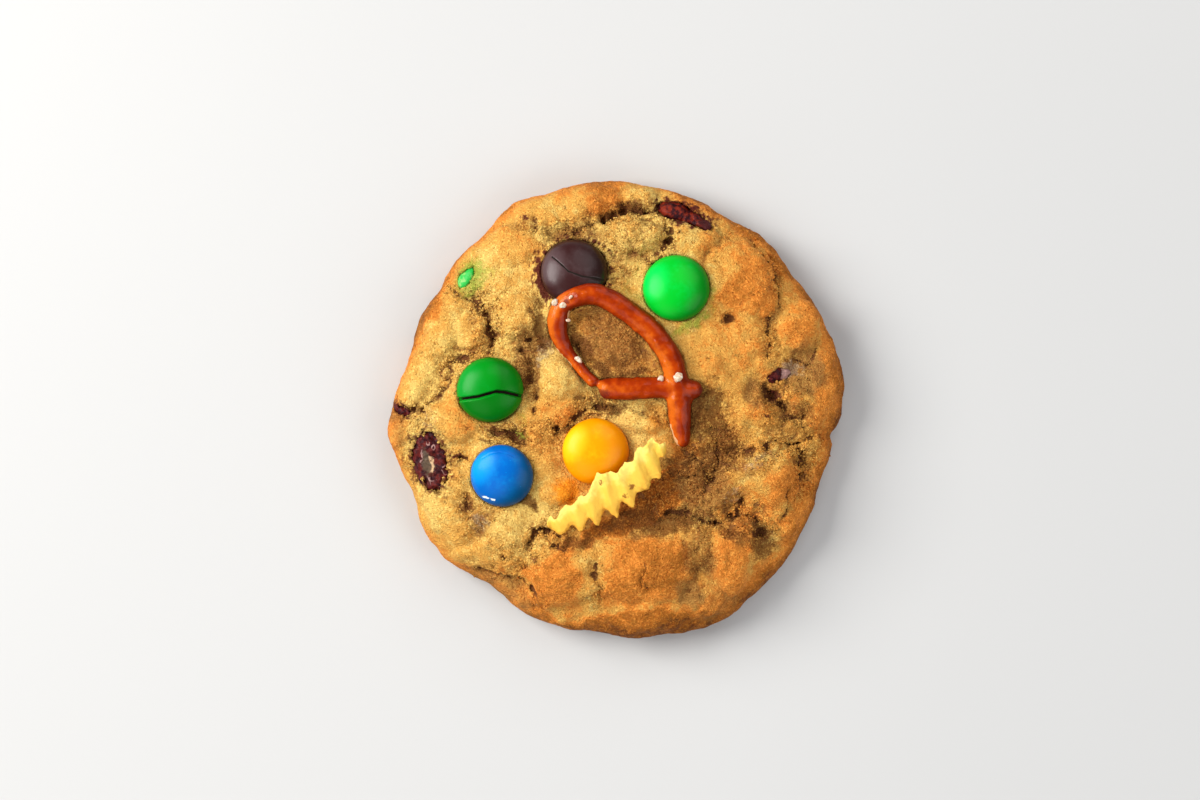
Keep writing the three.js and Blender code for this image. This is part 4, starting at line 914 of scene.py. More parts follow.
def crumb_finish(name):
    """The finish of baked dough, from the masks and from noise of three sizes."""
    crumbs = Finish(name, Roughness=0.75, Specular_IOR_Level=0.10)
    torn = crumbs.attribute("torn")
    sand = crumbs.grain(0.42, 2.5, 0.65).step(0.36, 0.64)
    coarse = crumbs.grain(1.2, 2.0, 0.6).step(0.34, 0.66)
    blotch = crumbs.grain(2.8, 3.0, 0.6)
    grains = {"sand": sand, "coarse": coarse, "blotch": blotch}
    pits = (1 - crumbs.pores(0.66).step(0.12, 0.30)) * (1.2 - coarse)

    def ragged(mask, **shares):
        """A mask plus some share of each grain, which breaks up its edge."""
        value = crumbs.attribute(mask)
        for grain, share in shares.items():
            value = value + (grains[grain] - 0.5) * share
        return value

    # browning, with the painted shadow under the chip and painted light on lit slopes in it
    shade = ragged("bake_and_painted_shading", blotch=0.9, coarse=0.25, sand=-0.1)
    colour = crumbs.mix(shade.step(0.0, 0.45), CREAM_CRUMB, GOLD_CRUMB)
    for low, high, crust in ((0.45, 1.0, ORANGE_CRUST), (0.9, 1.4, BROWN_CRUST), (1.35, 1.9, DARK_CRUST)):
        colour = crumbs.mix(shade.step(low, high), colour, crust)
    cocoa = ragged("cocoa", coarse=0.6, blotch=0.3).step(0.2, 0.9)
    coats = (
        # olive: moist dough, and painted shade
        (ragged("damp_and_shade", blotch=0.8).step(0.15, 0.9) * 0.85, OLIVE_CRUMB),
        (ragged("ashy", coarse=0.5).step(0.2, 0.9) * 0.6, ASHY_CRUMB),
        (ragged("green_dye", coarse=0.3).step(0.05, 0.9) * 0.7, GREEN_CRUMB),
        (ragged("orange_dye") * 0.8, ORANGE_CRUMB),
        (cocoa * 0.98, COCOA_CRUMB),
    )
    for coat, tint in coats:
        colour = crumbs.mix(coat, colour, tint)
    flecks = sand.step(0.7, 1.0) * (torn * 0.6 + 0.4) * (1 - cocoa * 0.7)
    colour = crumbs.mix(flecks, colour, FLECK_GLOW, blend="ADD")
    # Painted shade and painted shadows, in dark brown.
    painted_shadow = ragged("painted_shadow", blotch=0.6, sand=-0.25).step(0.15, 0.9)
    colour = crumbs.mix(painted_shadow * 0.85, colour, SHADOW_BROWN)
    specks = (1 - sand) * (torn * 0.22 + 0.24) + pits * 0.8 + (1 - coarse) * (torn * 0.16 + 0.08)
    colour = crumbs.mix(specks.math("MINIMUM", 0.9), colour, SPECK_SHADE, blend="MULTIPLY")
    # Painted shade in hollows, and along the creases between crumb clumps.
    gap = ragged("gap", blotch=0.4, sand=-0.2).step(0.15, 0.85)
    colour = crumbs.mix(gap * 0.8, colour, GAP_SHADE_BROWN)
    seam = 1 - (crumbs.attribute("seam_line").math("ABSOLUTE") + (sand - 0.5) * 0.05).step(0.02, 0.09)
    colour = crumbs.mix(seam * crumbs.attribute("seam_there").step(0.25, 0.8) * 0.75, colour, GAP_SHADE_BROWN)
    # Painted shade: cracks and pits are drawn dark brown.
    line = 1 - (crumbs.attribute("crack_line").math("ABSOLUTE") + (sand - 0.5) * 0.5).step(0.4, 1.0)
    dark = line * crumbs.attribute("crack_there").step(0.3, 0.85)
    dark = dark.math("MAXIMUM", ragged("crevice", sand=-0.2).step(0.25, 0.8))
    crumbs.set("Base Color", crumbs.mix(dark * 0.92, colour, CREVICE_SHADE_BROWN))
    crumbs.bump(sand * 0.65 + coarse * (torn * 0.6 + 0.3) - pits * 0.3 - dark * 0.7, 0.30, 0.9)
    return crumbs


dough_finish = crumb_finish("baked_crumb")
dress(dough, dough_finish, "dough", "cookie_dough")

# %% [markdown]
# ## Loose crumb
# The skin alone is too smooth where the dough is torn. Real grains stand on it there: thousands
# of small faceted bits, half sunk, each stretched and turned by chance. A bit is an icosahedron,
# whose 12 corners are those of three golden rectangles. It takes the colour of the dough that
# it stands on, a little lighter or darker.


# %% Scattered bits
def turns(count, rng):
    """Random rotation matrices, from random quaternions."""
    w, a, b, c = rng.normal(size=(4, count))
    n = 2 / (w * w + a * a + b * b + c * c)
    return np.stack([
        1 - n * (b * b + c * c), n * (a * b - w * c), n * (a * c + w * b),
        n * (a * b + w * c), 1 - n * (a * a + c * c), n * (b * c - w * a),
        n * (a * c - w * b), n * (b * c + w * a), 1 - n * (a * a + b * b)], -1).reshape(-1, 3, 3)


GOLDEN = (1 + math.sqrt(5)) / 2
BIT_POINTS = np.array([
    [-1, GOLDEN, 0], [1, GOLDEN, 0], [-1, -GOLDEN, 0], [1, -GOLDEN, 0],
    [0, -1, GOLDEN], [0, 1, GOLDEN], [0, -1, -GOLDEN], [0, 1, -GOLDEN],
    [GOLDEN, 0, -1], [GOLDEN, 0, 1], [-GOLDEN, 0, -1], [-GOLDEN, 0, 1],
]) / math.hypot(1, GOLDEN)
BIT_FACES = np.array([
    [0, 11, 5], [0, 5, 1], [0, 1, 7], [0, 7, 10], [0, 10, 11], [1, 5, 9], [5, 11, 4],
    [11, 10, 2], [10, 7, 6], [7, 1, 8], [3, 9, 4], [3, 4, 2], [3, 2, 6], [3, 6, 8],
    [3, 8, 9], [4, 9, 5], [2, 4, 11], [6, 2, 10], [8, 6, 7], [9, 8, 1],
])
BIT_COUNT, BIT_RADII, BIT_SEED = 4500, (0.15, 0.34), 5


def scattered(name, count, shape, faces, radii, weight, seed):
    """Bits of one kind on the skin, more of them where the weight is high."""
    rng = np.random.default_rng(seed)
    weight = (weight * np.where(in_socket, 0, on_top)).ravel()
    spots = rng.choice(weight.size, count, replace=False, p=weight / weight.sum())
    radius = rng.uniform(*radii, count)[:, None, None]
    stretch = rng.uniform(0.7, 1.25, (count, 1, 3))
    uneven_shape = shape[None] * stretch * rng.uniform(0.8, 1.15, (count, len(shape), 1))
    bits = np.einsum("nij,npj->npi", turns(count, rng), uneven_shape) * radius
    out = grid_normals(skin).reshape(-1, 3)[spots]
    side = rng.normal(size=(count, 3)) * 0.12
    bits += (skin.reshape(-1, 3)[spots] + side + out * radius[:, 0] * 0.05)[:, None]
    all_faces = faces[None] + len(shape) * np.arange(count)[:, None, None]
    worn = {key: np.repeat(values.ravel()[spots], len(shape)) for key, values in masks.items()}
    worn["bake_and_painted_shading"] = worn["bake_and_painted_shading"] + np.repeat(rng.uniform(-0.15, 0.15, count), len(shape))
    for key, share in (("crevice", 0.2), ("crack_there", 0.2), ("gap", 0.5)):  # painted shade is weaker on the bits, which stand out of it
        worn[key] = worn[key] * share
    return mesh_object(name, bits.reshape(-1, 3), all_faces.reshape(-1, 3), masks=worn)


loose = torn**2.5 + 0.3 * near_crack
crumb_bits = scattered("crumb_bits", BIT_COUNT, BIT_POINTS, BIT_FACES, BIT_RADII, loose, BIT_SEED)
dress(crumb_bits, dough_finish, "dough", "cookie_dough")

# %% [markdown]
# ## Sugar-shelled drops
# A drop is a flattened ball. Its profile is turned round an axis, leaned over and put in its
# place. The shell is polished, so a soft light makes one broad highlight on it; tiny waves in
# the sugar keep that highlight from being perfect.


# %% The shape of a drop
def lens_points(rows, columns, radius, half_height):
    """A superellipse turned about Z, from the upper pole to the lower one."""
    a = np.linspace(math.pi / 2, -math.pi / 2, rows)[1:-1]
    across = radius * np.cos(a) ** (2 / DROP_POWER)
    turn = np.linspace(0, 2 * math.pi, columns, endpoint=False)
    across, up = across[:, None], (half_height * np.sin(a))[:, None]
    ring_points = np.stack(np.broadcast_arrays(across * np.cos(turn), across * np.sin(turn), up), -1)
    return np.vstack([ring_points.reshape(-1, 3), [[0, 0, half_height], [0, 0, -half_height]]])


def capped_faces(rings, columns):
    """Faces of a stack of closed rings with a pole point at each end."""
    walls = grid_faces(rings, columns, around=True)[:, ::-1]
    k = np.arange(columns)
    top, bottom = rings * columns, rings * columns + 1
    cap = np.stack([np.full(columns, top), k, (k + 1) % columns], -1)
    last = (rings - 1) * columns
    foot = np.stack([np.full(columns, bottom), last + (k + 1) % columns, last + k], -1)
    return walls, np.vstack([cap, foot])


def lean_matrix(lean):
    """Turns about X and then about Y, so that the face leans towards +X and +Y."""
    (cx, sx), (cy, sy) = cos_sin(-lean[1]), cos_sin(lean[0])
    about_x = np.array([[1, 0, 0], [0, cx, -sx], [0, sx, cx]])
    about_y = np.array([[cy, 0, sy], [0, 1, 0], [-sy, 0, cy]])
    return about_x @ about_y


SHELL_CRACKS = {  # half width that shows dark, depth, corners in the drop's own x and y
    "candy_green_left": (0.30, 1.0, (-7.2, -1.9, -2.6, -1.2, 1.4, -0.1, 3.2, -0.3, 7.2, -1.3)),
    "candy_brown": (0.17, 0.05, (-4.6, 2.6, -1.4, -0.6, 1.4, -1.6, 5.8, -1.9)),
    "candy_blue": (0, 0.07, (-3.8, 3.9, -2.2, 4.9, -0.4, 5.25, 1.4, 5.0, 2.6, 4.4)),
}
DEEP_SHADE = {"candy_green_left": 0.75}  # painted shade: this drop is drawn darker all over
RUBBED = {  # small worn spots, as ellipses on the face
    "candy_blue": ((-3.2, -4.1, 0.7, 0.25, -8), (-1.6, -4.5, 0.5, 0.25, -10)),
}
TO_WINDOW = (-0.73, 0.27, 0.63)  # painted light: the sugar is drawn palest on this side, and deepest on the other as painted shade
DROP_ROWS, DROP_COLUMNS = 150, 220


def drop_object(name):
    """A drop with waves, cracks and worn spots, and masks for painted light and shade on its dye."""
    centre, lean, size, _ = DROPS[name]
    local = lens_points(DROP_ROWS, DROP_COLUMNS, DROP_RADIUS * size, DROP_HALF_HEIGHT * size)
    outward = local / np.linalg.norm(local * (1, 1, 2), axis=1)[:, None] * (1, 1, 2)
    wave = 0.03 * noise.soft(local + centre[0], 2.6) + 0.05 * noise.soft(local + centre[1], 6)
    gap, rubbed = np.full(len(local), 3.0), np.zeros(len(local))
    face = local[:, 2] > -1
    if name in SHELL_CRACKS:
        half_width, depth, corners = SHELL_CRACKS[name]
        away = line_distance(local[:, 0], local[:, 1], corners)[0] + 0.05 * noise.soft(local, 0.9)
        wave = wave - depth * np.exp(-((away / max(half_width * 1.2, 0.16)) ** 4)) * face
        if half_width:
            gap = np.where(face, away / half_width, 3.0)
            crack_y = np.interp(local[:, 0], corners[::2], corners[1::2])
            wave = wave - 0.07 * np.maximum(0, crack_y - local[:, 1]) * (half_width > 0.2) * face
    for spot in RUBBED.get(name, ()):
        rubbed = np.maximum(rubbed, (1.6 - ellipse_distance(local[:, 0], local[:, 1], *spot)) * face)
    points = (local + outward * wave[:, None]) @ lean_matrix(lean).T + centre
    to_window = (outward @ lean_matrix(lean).T) @ TO_WINDOW
    painted_deep_shade = np.full(len(local), DEEP_SHADE.get(name, 0.0))
    if name == "candy_green_left":  # painted shade: the half below its crack is drawn darker still
        painted_deep_shade += 0.35 * smoothstep(-0.3, -1.2, local[:, 1] - crack_y)
    shell_masks = {
        "gap": gap, "rubbed": rubbed, "mottle": noise.soft(local + 5, 3.0), "painted_deep_shade": painted_deep_shade,
        "painted_lit_side": smoothstep(0.72, 1.0, to_window), "thickness_and_shade": 1 - smoothstep(-0.25, 0.7, to_window),
    }
    return mesh_object(name + "_shell", points, *capped_faces(DROP_ROWS - 2, DROP_COLUMNS), masks=shell_masks)


# %% [markdown]
# Sugar shells are dyed sugar over chocolate: a clear colour with a slight mottle, and dark
# brown where a crack shows the chocolate below. Light and shade are painted on too: paler on
# the side towards the window light, deeper on the far side, and the left green drop darker all
# over, most below its crack.


# %% Shell finish
WORN_SUGAR = (0.80, 0.86, 0.84)
SHELL_CHOCOLATE = (0.010, 0.005, 0.003)


def shell_finish(name, colour, pale, full, gloss=0.14, roughness=0.30):
    """The finish of a dyed shell, from its usual colour, its pale one and its full one."""
    shell = Finish(name, Roughness=roughness, Specular_IOR_Level=gloss)
    mottle, gap = shell.attribute("mottle"), shell.attribute("gap")
    tone = shell.mix((mottle * 0.5 + shell.grain(0.8, 2.0)).step(0.45, 1.2) * 0.3, colour, pale)
    # Painted light on the side towards the window, and painted shade on the far side and on the darker drop.
    tone = shell.mix(shell.attribute("painted_lit_side") * 0.7, tone, pale)
    thickness_and_shade = (shell.attribute("thickness_and_shade") * 0.85 + shell.attribute("painted_deep_shade")).math("MINIMUM", 1.0)
    tone = shell.mix(thickness_and_shade, tone, full)
    specks = (1 - shell.pores(1.3).step(0.05, 0.11)) * shell.grain(2.4, 1.0).step(0.52, 0.6)
    tone = shell.mix(specks * 0.4, tone, pale)
    worn = (shell.attribute("rubbed") + (shell.grain(0.35, 2.0) - 0.5) * 1.6).step(0.5, 0.7)
    tone = shell.mix(worn, tone, WORN_SUGAR)
    shell.set("Base Color", shell.mix(1 - gap.step(0.85, 1.1), tone, SHELL_CHOCOLATE))
    crack = 1 - gap.step(0.85, 1.3)
    shell.set("Roughness", shell.grain(1.1, 2.0) * 0.1 + crack * 0.6 + roughness * 0.85)
    shell.bump(shell.grain(0.9, 2.0) + shell.grain(0.25, 1.0) * 0.2, 0.02)
    return shell


SHELLS = {  # the usual colour, the pale one for mottle and painted light, the full one for painted shade, and the gloss
    "brown": ((0.036, 0.009, 0.009), (0.11, 0.066, 0.070), (0.016, 0.004, 0.003), 0.27),
    "green": ((0.0, 0.50, 0.022), (0.0, 0.74, 0.10), (0.0, 0.16, 0.004)),
    "blue": ((0.0, 0.125, 0.52), (0.0, 0.36, 0.84), (0.0, 0.055, 0.12)),
    "yellow": ((0.92, 0.32, 0.0), (0.94, 0.64, 0.01), (0.74, 0.22, 0.0)),
}
shells = {name: shell_finish(name + "_shell", *tones) for name, tones in SHELLS.items()}
for name in DROPS:
    tone = name.split("_")[1]
    dress(drop_object(name), shells[tone], tone + "_shell", name)

# %% [markdown]
# ## Pretzel
# A pretzel is a rope of dough dipped in lye, which bakes to a thin glossy red-brown skin. The
# two strands are tubes along smooth lines. A voxel remesh melts them into one skin where they
# cross, and noise then gives it blisters.


# %% Strands melted into one skin
def stacked(shapes):
    """Points, quads and triangles of several closed shapes as one mesh."""
    starts = np.cumsum([0] + [len(points) for points, _, _ in shapes])
    quads = [walls + start for start, (_, walls, _) in zip(starts, shapes)]
    triangles = [caps + start for start, (_, _, caps) in zip(starts, shapes)]
    return np.vstack([points for points, _, _ in shapes]), np.vstack(quads), np.vstack(triangles)


def tube(line, sides, flatten=1.0, slope=(0, 0)):
    """A closed tube along rows of x, y, z, radius, with ends that close to a round point.

    On a slope each ring is sheared: a point at x, y from the middle goes up by x and y times
    the slope.
    """
    centre, radius = line[:, :3], line[:, 3]
    along = np.gradient(centre, axis=0)
    along /= np.linalg.norm(along, axis=1)[:, None]
    across = np.cross([0, 0, 1], along)
    across /= np.linalg.norm(across, axis=1)[:, None]
    above = np.cross(along, across)
    run = np.concatenate([[0], np.cumsum(np.linalg.norm(np.diff(centre, axis=0), axis=1))])
    to_end = np.minimum(run, run[-1] - run)
    rounding = np.sqrt(1 - (1 - np.clip((to_end + 0.05) / (0.8 * radius), 0, 1)) ** 2)
    turn = np.linspace(0, 2 * math.pi, sides, endpoint=False)[None, :, None]
    reach = (radius * rounding)[:, None, None]
    ring = np.cos(turn) * across[:, None] + flatten * np.sin(turn) * above[:, None]
    rings = centre[:, None] + reach * ring
    rings[..., 2] += ((rings - centre[:, None])[..., :2] * slope).sum(-1)
    points = np.vstack([rings.reshape(-1, 3), centre[:1], centre[-1:]])
    walls, caps = capped_faces(len(line), sides)
    return points, walls[:, ::-1], caps[:, ::-1]


def melted(name, voxel, *tubes):
    """One skin round several closed tubes, by a voxel remesh. Gives points and triangles."""
    thing = mesh_object(name, *stacked(tubes))
    remesh = thing.modifiers.new("melt", "REMESH")
    remesh.mode, remesh.voxel_size = "VOXEL", voxel * MM
    depsgraph = bpy.context.evaluated_depsgraph_get()
    mesh = bpy.data.meshes.new_from_object(thing.evaluated_get(depsgraph))
    points = np.zeros(len(mesh.vertices) * 3)
    mesh.vertices.foreach_get("co", points)
    faces = np.zeros(len(mesh.polygons) * 4, np.int32)
    mesh.loops.foreach_get("vertex_index", faces)
    edges = np.zeros(len(mesh.edges) * 2, np.int32)
    mesh.edges.foreach_get("vertices", edges)
    bpy.data.objects.remove(thing)
    bpy.data.meshes.remove(mesh)
    return points.reshape(-1, 3) / MM, faces.reshape(-1, 4), edges.reshape(-1, 2)


def relaxed(points, edges, times, amount=0.5):
    """Each point moves towards the mean of its neighbours, some times over."""
    count = np.bincount(edges.ravel(), minlength=len(points))[:, None]
    for _ in range(times):
        total = np.zeros_like(points)
        np.add.at(total, edges[:, 0], points[edges[:, 1]])
        np.add.at(total, edges[:, 1], points[edges[:, 0]])
        points = points + amount * (total / count - points)
    return points


def point_normals(points, faces):
    """Unit normals of points from the faces round them."""
    a, b, c = (points[faces[:, k]] for k in range(3))
    face_normal = np.cross(b - a, c - a)
    total = np.zeros_like(points)
    for k in range(faces.shape[1]):
        np.add.at(total, faces[:, k], face_normal)
    return total / np.maximum(np.linalg.norm(total, axis=1), 1e-9)[:, None]


# %% The pretzel
loop_tube = tube(smooth_line(PRETZEL_LOOP, 0.4), 28, 0.92)
bar_tube = tube(smooth_line(PRETZEL_BAR, 0.4), 28, 0.92)
points, quads, edges = melted("pretzel_strands", 0.3, loop_tube, bar_tube)
points = relaxed(points, edges, 6)
normal = point_normals(points, quads)
wrinkle = 0.14 * noise.soft(points, 3.2) + 0.07 * noise.soft(points, 1.3)
blister_middle, blister_luck = noise.cells(points, 2.2)
blister = 0.16 * smoothstep(0.4, 0.12, blister_middle) * (blister_luck > 0.55)
points = points + normal * (wrinkle + blister)[:, None]

BURNT = [(-3.4, 3.4, 2.2, 1.2, 0), (17.6, 4.0, 1.3, 1.7, 0), (-10.2, 22.0, 0.8, 0.55, -20)]
BROKEN_SKIN = [  # places where the skin has split and the pale inside shows: width, and a line
    (0.45, (10.5, -3.0, 11.2, -5, 12.3, -7.4)), (0.3, (-9.9, 18.5, -9.6, 20)),
    (0.45, (-13.2, 13.2, -11.4, 11.2, -9.6, 9.4)), (0.25, (7.8, 18.4, 8.5, 17.9)),
]
STRAND_LIGHT = (-0.74, 0.05, 0.67)  # painted light: the crust is drawn paler on this side and darker on the far side


def inside(points, ellipse, low, high, ragged=0.0):
    """1 inside an ellipse seen from above and 0 outside it, with a soft or ragged edge."""
    return 1 - smoothstep(low, high, ellipse_distance(points[:, 0], points[:, 1], *ellipse) + ragged)


burnt = np.zeros(len(points))
for ellipse in BURNT:
    burnt = np.maximum(burnt, inside(points, ellipse, 0.3, 1.5))
broken = np.zeros(len(points))
for width, corners in BROKEN_SKIN:
    away = line_distance(points[:, 0], points[:, 1], corners)[0] + 0.25 * noise.soft(points, 0.8)
    broken = np.maximum(broken, 1 - smoothstep(0.5 * width, 1.1 * width, away))
crust_masks = {
    "burnt": burnt, "broken": broken, "blister": blister * 6, "lift": normal[:, 2],
    "lit": normal @ STRAND_LIGHT,
}
pretzel = mesh_object("pretzel_twist", points, quads, masks=crust_masks)

# %% Pretzel finish
CRUST_RED, CRUST_RUSSET = (0.32, 0.025, 0.001), (0.44, 0.043, 0.001)
CRUST_LIT, CRUST_SHADED, CRUST_UNDER_SHADE = (0.76, 0.17, 0.012), (0.16, 0.010, 0.001), (0.12, 0.008, 0.001)
CRUST_FRECKLE, CRUST_BURNT, PRETZEL_INSIDE = (0.16, 0.012, 0.002), (0.11, 0.008, 0.008), (0.78, 0.46, 0.22)

crust = Finish("pretzel_crust", Roughness=0.2, Specular_IOR_Level=0.15)
streak = crust.grain(2.2, 2.0, 0.5)
freckle = crust.grain(0.35, 2.0, 0.6)
lit = crust.attribute("lit")
blistered = (streak + crust.attribute("blister") * 0.15).step(0.34, 0.70)
tone = crust.mix(blistered, CRUST_RED, CRUST_RUSSET)
coats = (
    # painted light, painted shade on the far side, and painted shade underneath
    ((lit + (streak - 0.5) * 0.6).step(0.62, 1.05) * 0.75, CRUST_LIT),
    ((1 - (lit + (streak - 0.5) * 0.8).step(0.0, 0.75)) * 0.85, CRUST_SHADED),
    ((1 - crust.attribute("lift").step(-0.1, 0.5)) * 0.7, CRUST_UNDER_SHADE),
    ((1 - freckle.step(0.30, 0.46)) * 0.22, CRUST_FRECKLE),
    ((crust.attribute("burnt") + (freckle - 0.5) * 1.3).step(0.25, 0.95) * 0.75, CRUST_BURNT),
    ((crust.attribute("broken") + (freckle - 0.5) * 0.8).step(0.35, 0.7) * 0.9, PRETZEL_INSIDE),
)
for coat, tint in coats:
    tone = crust.mix(coat, tone, tint)
crust.set("Base Color", tone)
crust.set("Roughness", crust.grain(1.2, 2.0) * 0.15 + crust.attribute("burnt") * 0.3 + 0.10)
crust.bump(streak * 0.6 + freckle * 0.3, 0.06)
dress(pretzel, crust, "pretzel", "pretzel")

# %% [markdown]
# ## Salt
# Pretzel salt is coarse: opaque white grains, pinkish where the crust's colour shows through.
# Each is a ball with deep dents.


# %% Salt grains
def lumpy_ball(centre, half_sizes, turn, rows, columns, dent, size, seed, slope=(0, 0)):
    """A ball stretched to its half sizes, turned, dented by noise and sheared to a slope."""
    a = np.linspace(math.pi / 2, -math.pi / 2, rows)[1:-1, None]
    t = np.linspace(0, 2 * math.pi, columns, endpoint=False)[None]
    places = np.broadcast_arrays(np.cos(a) * np.cos(t), np.cos(a) * np.sin(t), np.sin(a))
    unit = np.vstack([np.stack(places, -1).reshape(-1, 3), [[0, 0, 1], [0, 0, -1]]])
    shape = unit * half_sizes
    shape = shape * (1 + dent * noise.soft(shape + seed * 7.3, size))[:, None]
    c, s = cos_sin(turn)
    turned = shape @ np.array([[c, s, 0], [-s, c, 0], [0, 0, 1]])
    turned[:, 2] += (turned[:, :2] * slope).sum(-1)
    return turned + centre, *capped_faces(rows - 2, columns)


SALT = [  # centre, half sizes, turn
    ((12.2, 6.8, 19.1), (1.1, 0.85, 0.7), 40), ((8.7, 6.5, 18.4), (0.75, 0.6, 0.5), 10),
    ((-12.6, 21.9, 18.4), (0.75, 0.6, 0.7), 60), ((-11, 21.2, 19.0), (0.8, 0.6, 0.5), 20),
    ((-7.9, 10.4, 16.7), (0.9, 0.5, 0.45), -36), ((-9.9, 18.3, 17.6), (0.5, 0.35, 0.35), 0),
    ((-9.4, 22.9, 19.8), (0.5, 0.3, 0.3), 30),
]
grains = [lumpy_ball(*grain, 14, 18, 0.3, 0.7, k) for k, grain in enumerate(SALT)]
salt = mesh_object("salt_grains", *stacked(grains))
salt_finish = Finish("salt", Roughness=0.35, Subsurface_Weight=0.15)
SALT_PINK, SALT_WHITE = (0.70, 0.42, 0.26), (0.92, 0.78, 0.60)
clear = salt_finish.grain(0.5, 2.0).step(0.35, 0.65)
salt_finish.set("Base Color", salt_finish.mix(clear, SALT_PINK, SALT_WHITE))
salt_finish.bump(salt_finish.grain(0.3, 2.0), 0.06)
dress(salt, salt_finish, "pretzel", "pretzel")

# %% [markdown]
# ## Ridged chip
# A slice of potato cut with a rippled blade and fried. Its ridges all run the same way, and
# both broken edges zigzag with them. The sheet is ruled: straight across from a place on its
# upper edge to the one on its lower edge on the same ridge, with the ripple added in height.

# %% The chip's sheet
CHIP_EDGES = [  # upper x and y, lower x and y: furrow and crest in turn
    (-14.3, -22.4, -14.2, -23.4), (-13.6, -21.3, -12.8, -24.2), (-12.5, -21.8, -11.0, -24.9),
    (-10.7, -19.1, -9.2, -22.9), (-8.9, -18.9, -7.2, -24.3), (-7.6, -17.1, -5.8, -21.7),
    (-6.0, -16.8, -3.9, -23.0), (-4.3, -12.7, -2.4, -19.9), (-3.0, -12.7, -0.1, -21.6),
    (-1.4, -12.2, 0.8, -18.3), (0.1, -12.5, 3.2, -19.5), (1.4, -10.3, 3.9, -16.6),
    (3.1, -10.1, 6.4, -15.7), (4.2, -7.5, 7.0, -13.7), (5.6, -7.1, 8.8, -13.2),
    (6.9, -5.4, 8.4, -9.6), (8.3, -6.7, 9.3, -9.2), (9.7, -6.3, 10.0, -8.0),
]
CHIP_HEIGHTS = [(-13.5, 15.4), (-7.5, 17), (-0.8, 18), (5, 18), (9.9, 17.3)]  # x and z of its middle
CHIP_THICKNESS, CHIP_FALL, RIDGE_HEIGHT = 1.1, 0.15, 0.22
CHIP_STEP, CHIP_CELLS = 0.12, 60

edges = np.array(CHIP_EDGES)
ripple_rows = np.where(np.arange(len(edges)) % 2, -1.0, 1.0)
middle_z = np.interp((edges[:, 0] + edges[:, 2]) / 2, *np.array(CHIP_HEIGHTS).T)
rows = smooth_line(np.column_stack([edges[:, :2], middle_z, edges[:, 2:], ripple_rows]), CHIP_STEP)
upper, lower, ripple = rows[:, :2], rows[:, 3:5], rows[:, 5]
turn = np.linspace(0, 2 * math.pi, CHIP_CELLS, endpoint=False)
share = 0.5 - 0.5 * np.sign(np.cos(turn)) * np.abs(np.cos(turn)) ** 0.5  # 0 at the upper edge, 1 at the lower
lift = np.sign(np.sin(turn)) * np.abs(np.sin(turn)) ** 0.5
end = np.minimum(np.arange(len(rows)), len(rows) - 1 - np.arange(len(rows))) * CHIP_STEP / 0.5
thickness_and_shade = CHIP_THICKNESS / 2 * np.sqrt(1 - (1 - np.clip(end, 0.05, 1)) ** 2)
width = np.linalg.norm(lower - upper, axis=1)
sheet_xy = upper[:, None] + share[None, :, None] * (lower - upper)[:, None]
fall = CHIP_FALL * width[:, None] * (0.5 - share)
sheet_z = rows[:, 2:3] + fall + RIDGE_HEIGHT * ripple[:, None] + thickness_and_shade[:, None] * lift
sheet = np.concatenate([sheet_xy, sheet_z[..., None]], -1)
rings = sheet.reshape(-1, 3)
frill = np.abs(2 * np.broadcast_to(share, sheet_z.shape).reshape(-1, 1) - 1) ** 3  # 1 at both edges
for size, amount in ((1.9, 0.16), (0.8, 0.06 + 0.16 * frill)):
    rings = rings + amount * np.stack([noise.soft(rings + k, size) for k in (0, 20, 40)], -1)
points = np.vstack([rings, sheet[0].mean(0), sheet[-1].mean(0)])
walls, caps = capped_faces(len(rows), CHIP_CELLS)
chip_masks = {
    "lower_edge": np.append(np.broadcast_to(share, sheet_z.shape).ravel(), [0.5, 0.5]),
    "crest": np.append(np.broadcast_to(ripple[:, None], sheet_z.shape).ravel(), [0, 0]),
}
chip = mesh_object("ridged_chip_sheet", points, walls[:, ::-1], caps[:, ::-1], masks=chip_masks)

# %% Chip finish
CHIP_YELLOW, CHIP_GOLD, CHIP_BROWN = (0.94, 0.72, 0.16), (0.88, 0.54, 0.068), (0.80, 0.40, 0.045)
CHIP_SCORCH = (0.24, 0.06, 0.008)
SCORCHED = ((2.9, -15.2, 18.2), (1.6, -17.1, 18.2), (-3.1, -14.3, 18.2))  # middles of dark spots

fried = Finish("fried_potato", Roughness=0.5, Specular_IOR_Level=0.15)
toast = fried.grain(2.4, 3.0, 0.6)
deeper = fried.attribute("lower_edge") + (toast - 0.5) * 1.1 + fried.attribute("crest") * 0.12
tone = fried.mix(deeper.step(0.0, 0.5), CHIP_YELLOW, CHIP_GOLD)
tone = fried.mix(deeper.step(0.45, 1.15), tone, CHIP_BROWN)
where = fried.place()
for spot_place in SCORCHED:
    offset = fried.node("ShaderNodeVectorMath", [where, spot_place], operation="SUBTRACT")
    away = fried.node("ShaderNodeVectorMath", [offset], output="Value", operation="LENGTH")
    spot = 1 - (away + (fried.grain(0.4, 2.0) - 0.5) * 1.4).step(0.35, 0.75)
    tone = fried.mix(spot * 0.85, tone, CHIP_SCORCH)
fried.set("Base Color", tone)
fried.bump(fried.grain(0.45, 3.0, 0.6), 0.08)
dress(chip, fried, "chip", "ridged_chip")

# %% [markdown]
# ## Chocolate chunks
# The chunks melted and set again, so they are rough, dull and sunk into the dough, red-brown
# at the edge, grey-brown in the middle and streaked pale pink and cream.

